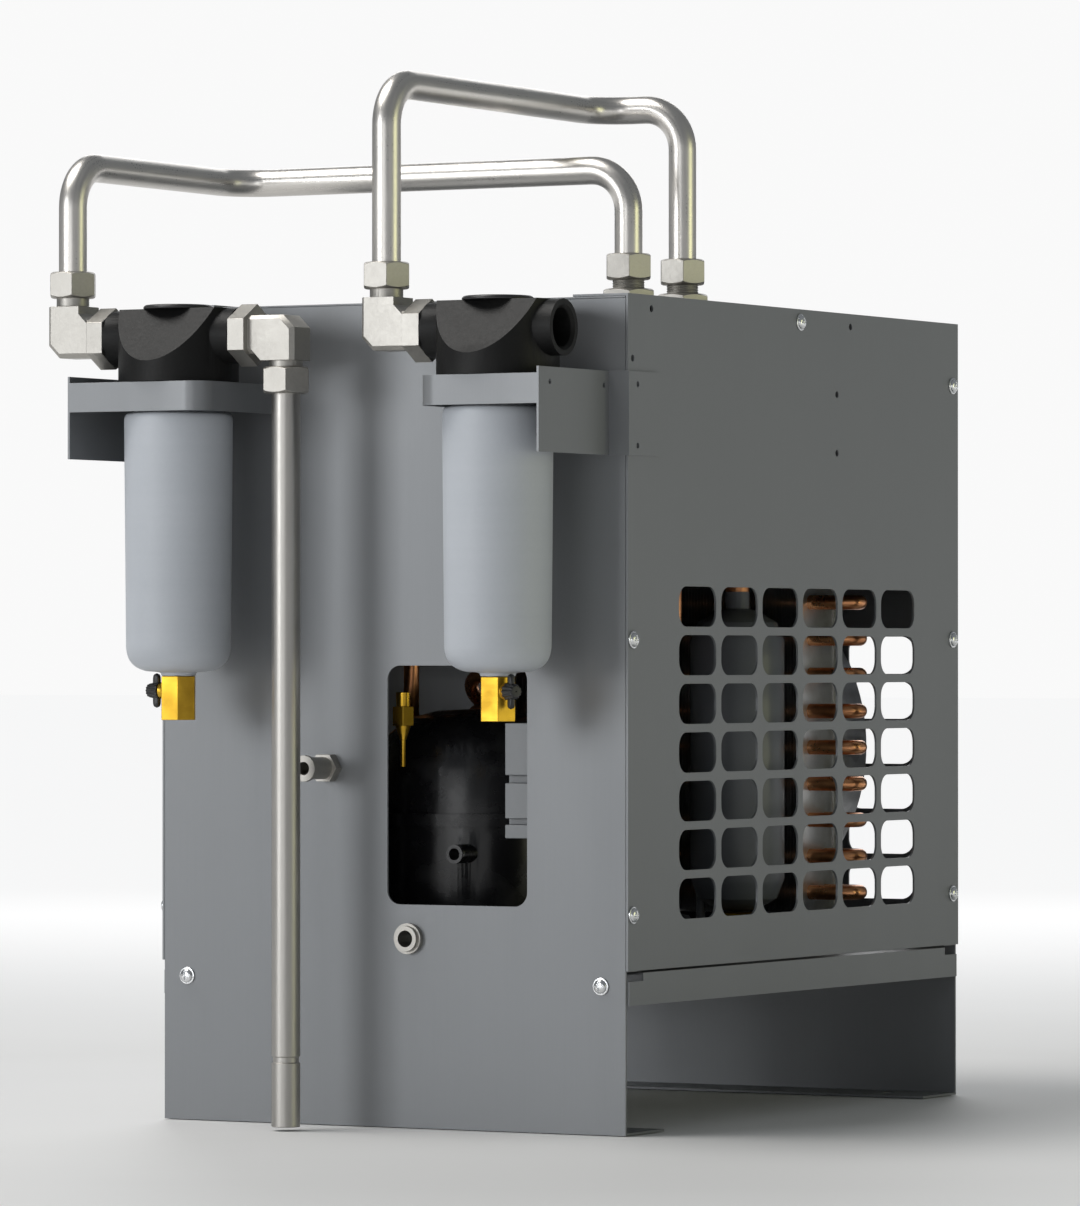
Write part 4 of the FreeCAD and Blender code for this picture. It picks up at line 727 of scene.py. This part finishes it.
def filters():
    """Head, cap, lock ring, bowl, element, drain valve and knob of each filter, and the seals."""
    for side, (x, heading) in FILTERS.items():
        centre = (x, FILTER_Y, 0)
        smoothed(side + "_head", 1.0, sharp=26)
        cap = [(0, 514.6), (22.2, 514.6), (22.2, 516.0), (20.9, 517.1), (16, 517.25), (15.4, 516.9), (0, 516.8)]
        made(side + "_cap", [turned(cap, centre, sides=96, soft=0.5)])
        smoothed(side + "_lock_ring", 0.3)
        outside = [(11, 285.8), (21, 286.4), (27.5, 289.2), (31.4, 293.8), (33, 299.8), (34.3, 446), (32.8, 449),
                   (28, 449), (28, 476)]
        inside = [(25.4, 476), (25.4, 447), (31.3, 443), (30, 300.8), (26, 292.8), (6.2, 289), (6.2, 283.2),
                  (11, 283.2)]
        made(side + "_bowl", [turned(outside + inside, centre, sides=112, closed=True, soft=2.6)], sharp=40)
        made(side + "_element", element(centre))
        smoothed(side + "_drain_valve", 0.5)
        made(side + "_drain_knob", drain_knob(x, heading), sharp=45)
    smoothed("bowl_seals", 0.1)


def element(centre):
    """Filter element: end caps and a sleeve whose pleats are r = R + 0.7 cos 48t, gathered by three bands."""
    t = np.arange(288) / 288 * TURN
    z = np.linspace(347, 459, 57)
    band = sum(np.exp(-((z - level) / 1.6) ** 2) for level in (368, 403, 438))
    radius = 22.6 + (0.7 * np.cos(48 * t))[None, :] * (1 - 0.8 * band[:, None]) - 0.5 * band[:, None]
    radius = np.vstack([np.full((1, 288), 16), radius, np.full((1, 288), 16)])
    height = np.concatenate([[347], z, [459]])
    ring = np.stack([np.cos(t), np.sin(t), 0 * t], -1)
    sleeve = np.asarray(centre, float) + radius[..., None] * ring + height[:, None, None] * np.array(UP, float)
    low = [(0, 341), (21, 341), (21, 345), (23.4, 345), (23.4, 350), (0, 350)]
    high = [(0, 456), (23.4, 456), (23.4, 462.9), (18.6, 463), (18.6, 473), (17.6, 474.5), (18.6, 476),
            (18.6, 483.4), (0, 483.4)]
    return [grid(sleeve), turned(low, centre, sides=72, soft=0.6), turned(high, centre, sides=72, soft=0.6)]


def front_fittings():
    """The small fittings of the panels."""
    for node, rounding in (("cable_gland", 0.25), ("drain_outlet", 0.3), ("control_box", 0.6),
                           ("switch_housing", 0.5), ("rocker", 0.4)):
        smoothed(node, rounding)


def fins():
    """Fins of the coil: thin sheets whose x = pitch + 0.35 cos(2 pi y / 11), and two thicker end plates."""
    half_depth, half_height, half_sheet, half_plate = 22, 110, 0.07, 0.6
    y = np.linspace(0.1 - half_depth, half_depth - 0.1, 17)
    levels = (FAN_Z - half_height + 0.2, FAN_Z + half_height - 0.2)
    parts = []
    for x in np.linspace(-119.5, 119.5, 104):
        wave = x + 0.35 * np.cos(TURN * y / FIN_WAVE)
        near, far = (np.stack([wave + offset, y + COIL_Y], -1) for offset in (-half_sheet, half_sheet))
        outline = np.concatenate([near, far[::-1]])
        parts.append(grid(np.stack([np.column_stack([outline, np.full(len(outline), z)]) for z in levels])))
    for x in (-121.4, 121.4):
        parts.append(block((x - half_plate, COIL_Y - half_depth, FAN_Z - half_height),
                           (x + half_plate, COIL_Y + half_depth, FAN_Z + half_height), 0.2))
    made("condenser_fins", parts)


def rotor_blade(turn):
    """Blade: an arc of chord at each radius, pitched from 40 to 24 degrees, cambered, thin at its edges."""
    root, tip = 30.5, 117.6
    s = np.linspace(0, 1, 15)[:, None]
    t = np.arange(28) / 28 * TURN
    chord = np.cos(t)[None, :]
    radius = root + (tip - root) * s
    width = 32 + 44 * s ** 0.8
    taper = np.sqrt(np.clip(1 - 0.35 * np.clip(s - 0.86, 0, 1) / 0.14, 0, 1))
    half = width / 2 / radius * chord * taper
    pitch = np.radians(40 - 16 * s)
    lift = 0.6 * width / 2 * np.tan(pitch) * chord * taper
    thick = 1.1 * np.sin(t)[None, :] * (0.55 + 0.45 * np.abs(np.sin(t))[None, :])
    camber = 2.6 * (1 - chord ** 2)
    angle = half + turn
    y = ROTOR_Y + lift + thick + camber - 1.3
    rows = np.stack([radius * np.cos(angle), y, FAN_Z + radius * np.sin(angle)], -1)
    ends = [np.repeat(rows[i].mean(0)[None, None], 28, 1) for i in (0, -1)]
    return grid(np.concatenate([ends[0], rows, ends[1]]))


def fan():
    """Rotor of five blades, motor can, wire guard, shroud and the coil's tubes."""
    hub = [(4.1, -10), (30, -10), (32, -8), (32, 7), (29, 10), (16, 10), (14, 8.5), (4.1, 8.5)]
    parts = [turned(hub, (0, ROTOR_Y, FAN_Z), REARWARD, 72, closed=True, soft=1.0)]
    parts += [rotor_blade(math.radians(72 * k)) for k in range(5)]
    made("fan_rotor", parts, sharp=50)
    can = [(4, -36), (4, -10), (12, -10), (12, 0), (34, 0), (35, 1.2), (35, 9), (34.2, 9.6), (34.2, 11), (35, 11.6),
           (35, 22), (34.2, 22.6), (34.2, 24), (35, 24.6), (35, 33), (33, 34), (14, 38.8), (0, 39)]
    made("fan_motor", [turned([(0, -36)] + can, (0, MOTOR_Y, FAN_Z), REARWARD, 80, soft=0.5)])
    centre, stay = np.array([0, GUARD_Y, FAN_Z]), 2.1
    wires = [hoop(centre, REARWARD, radius, 1.6) for radius in (44, 62, 80, 98, 116)]
    for arm in range(4):
        angle = math.radians(45 + 90 * arm)
        out = np.array([math.cos(angle), 0, math.sin(angle)])
        wires.append(pipe(np.linspace(centre + 35.5 * out, centre + 121.9 * out, 6), stay, 0, 14))
        foot = centre + 121 * out
        wires.append(pipe(np.linspace(foot + (0, -2.8, 0), foot + (0, 2.2, 0), 4), stay, 0, 14))
    sleeve = [(35.02, -3), (38, -3), (38, 3), (35.02, 3)]
    wires.append(turned(sleeve, centre, REARWARD, 96, closed=True, soft=0.4))
    made("fan_guard", wires, sharp=40)
    smoothed("fan_shroud", 0.3)
    smoothed("condenser_tubes", sharp=60)


def service_ring():
    """Bright machined rim on the end of the compressor's process port."""
    rim = [(3.9, -0.2), (5.9, -0.2), (6.0, 1.6), (6.0, 3.0), (5.2, 3.0), (5.2, 0.6), (3.9, 0.6)]
    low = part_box("compressor_shell")[0]
    place = (28, low[1] / MM + 0.3, 171)
    build("process_port_rim", [turned(rim, place, REARWARD, 48, closed=True, soft=0.2)],
          BODY_OF["compressor_shell"], FINISHES["zinc_screw"])


def inside():
    """Compressor, exchanger, separator, valves and their pipes."""
    service_ring()
    for node in ("compressor_shell", "rubber_grommets", "compressor_bolts", "terminal_cover", "hot_gas_valve",
                 "heat_exchanger", "exchanger_bracket", "moisture_separator", "drain_valve_body", "drain_coil"):
        smoothed(node, 0.5)
    for node in ("suction_pipe", "discharge_pipe", "filter_drier", "capillary_tube", "separator_pipe",
                 "drain_tube"):
        smoothed(node, sharp=50)


cabinet()
screws()
pipes()
filters()
front_fittings()
fins()
fan()
inside()


# ---------------------------------------------------------------- stage

def area_light(name, place, target, size, power, tint):
    """A square soft light that faces its target."""
    lamp = bpy.data.lights.new(name, "AREA")
    lamp.energy, lamp.color = power, tint
    lamp.shape = "RECTANGLE"
    lamp.size, lamp.size_y = size, size
    thing = bpy.data.objects.new(name, lamp)
    bpy.context.scene.collection.objects.link(thing)
    thing.location = place
    thing.rotation_euler = (Vector(target) - Vector(place)).to_track_quat("-Z", "Y").to_euler()


def camera_view():
    """Long lens in front and to the right, at about half the dryer's height, turned to its middle."""
    low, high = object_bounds()
    middle = Vector((0.005, -0.05, (low[2] + high[2]) / 2))
    camera = bpy.data.objects.new("camera", bpy.data.cameras.new("camera"))
    bpy.context.scene.collection.objects.link(camera)
    camera.location = (2.213, -3.964, 0.296)
    camera.rotation_euler = (middle - camera.location).to_track_quat("-Z", "Y").to_euler()
    camera.data.sensor_fit = "HORIZONTAL"
    camera.data.sensor_width = 36
    camera.data.lens = 230
    bpy.context.scene.camera = camera


def pale_floor():
    """Level floor just under the feet, that fades to a pale glow with its distance from the dryer."""
    f = Finish("pale floor")
    cloud = f.noise(f.coordinates(), 3, 3)
    reach = f.node("ShaderNodeVectorMath", {"operation": "LENGTH"}, {0: f.coordinates()}, output=1)
    far = reach.between(0.7, 3.4)
    f.surface(f.mixed(far, f.mixed(cloud, (0.74, 0.74, 0.74), (0.78, 0.78, 0.78)), (0.1, 0.1, 0.1)), 0.6,
              Emission_Color=f.mixed(far, (0, 0, 0), (0.88, 0.88, 0.88)), Emission_Strength=1.0)
    floor, half = bpy.data.meshes.new("floor"), 40
    floor.from_pydata([(-half, -half, 0), (half, -half, 0), (half, half, 0), (-half, half, 0)], [], [(0, 1, 2, 3)])
    floor.materials.append(f.material)
    ground = bpy.data.objects.new("floor", floor)
    bpy.context.scene.collection.objects.link(ground)
    ground.location = (0, 0, -0.0005)


def studio():
    """Soft blue-white surroundings, a plain backdrop and five soft lights."""
    world = bpy.data.worlds.new("studio")
    world.use_nodes = True
    tree = world.node_tree
    glow = tree.nodes["Background"]
    glow.inputs["Color"].default_value = (0.90, 0.95, 1.0, 1)
    glow.inputs["Strength"].default_value = 0.21
    backdrop = tree.nodes.new("ShaderNodeBackground")
    backdrop.inputs["Color"].default_value = (0.95, 0.95, 0.95, 1)
    choice, path = tree.nodes.new("ShaderNodeMixShader"), tree.nodes.new("ShaderNodeLightPath")
    tree.links.new(path.outputs["Is Camera Ray"], choice.inputs[0])
    tree.links.new(glow.outputs[0], choice.inputs[1])
    tree.links.new(backdrop.outputs[0], choice.inputs[2])
    tree.links.new(choice.outputs[0], tree.nodes["World Output"].inputs["Surface"])
    bpy.context.scene.world = world
    bpy.context.scene.view_settings.view_transform = "Standard"
    area_light("key", (-1.75, -3.8, 1.0), (0, -0.2, 0.25), 1.5, 42, (0.97, 0.985, 1.0))
    area_light("fill", (0.6, -4.4, 0.4), (0, -0.2, 0.25), 1.6, 15, (0.98, 0.99, 1.0))
    area_light("top", (-1.1, -0.8, 2.6), (0, -0.1, 0.4), 1.5, 50, (1.0, 0.98, 0.95))
    area_light("side", (3.6, 0.6, 0.55), (0.1, 0, 0.2), 1.8, 15, (1.0, 1.0, 0.52))
    area_light("rear", (-1.6, 3.2, 1.7), (0, 0, 0.3), 2.2, 30, (1.0, 1.0, 1.0))


camera_view()
pale_floor()
studio()
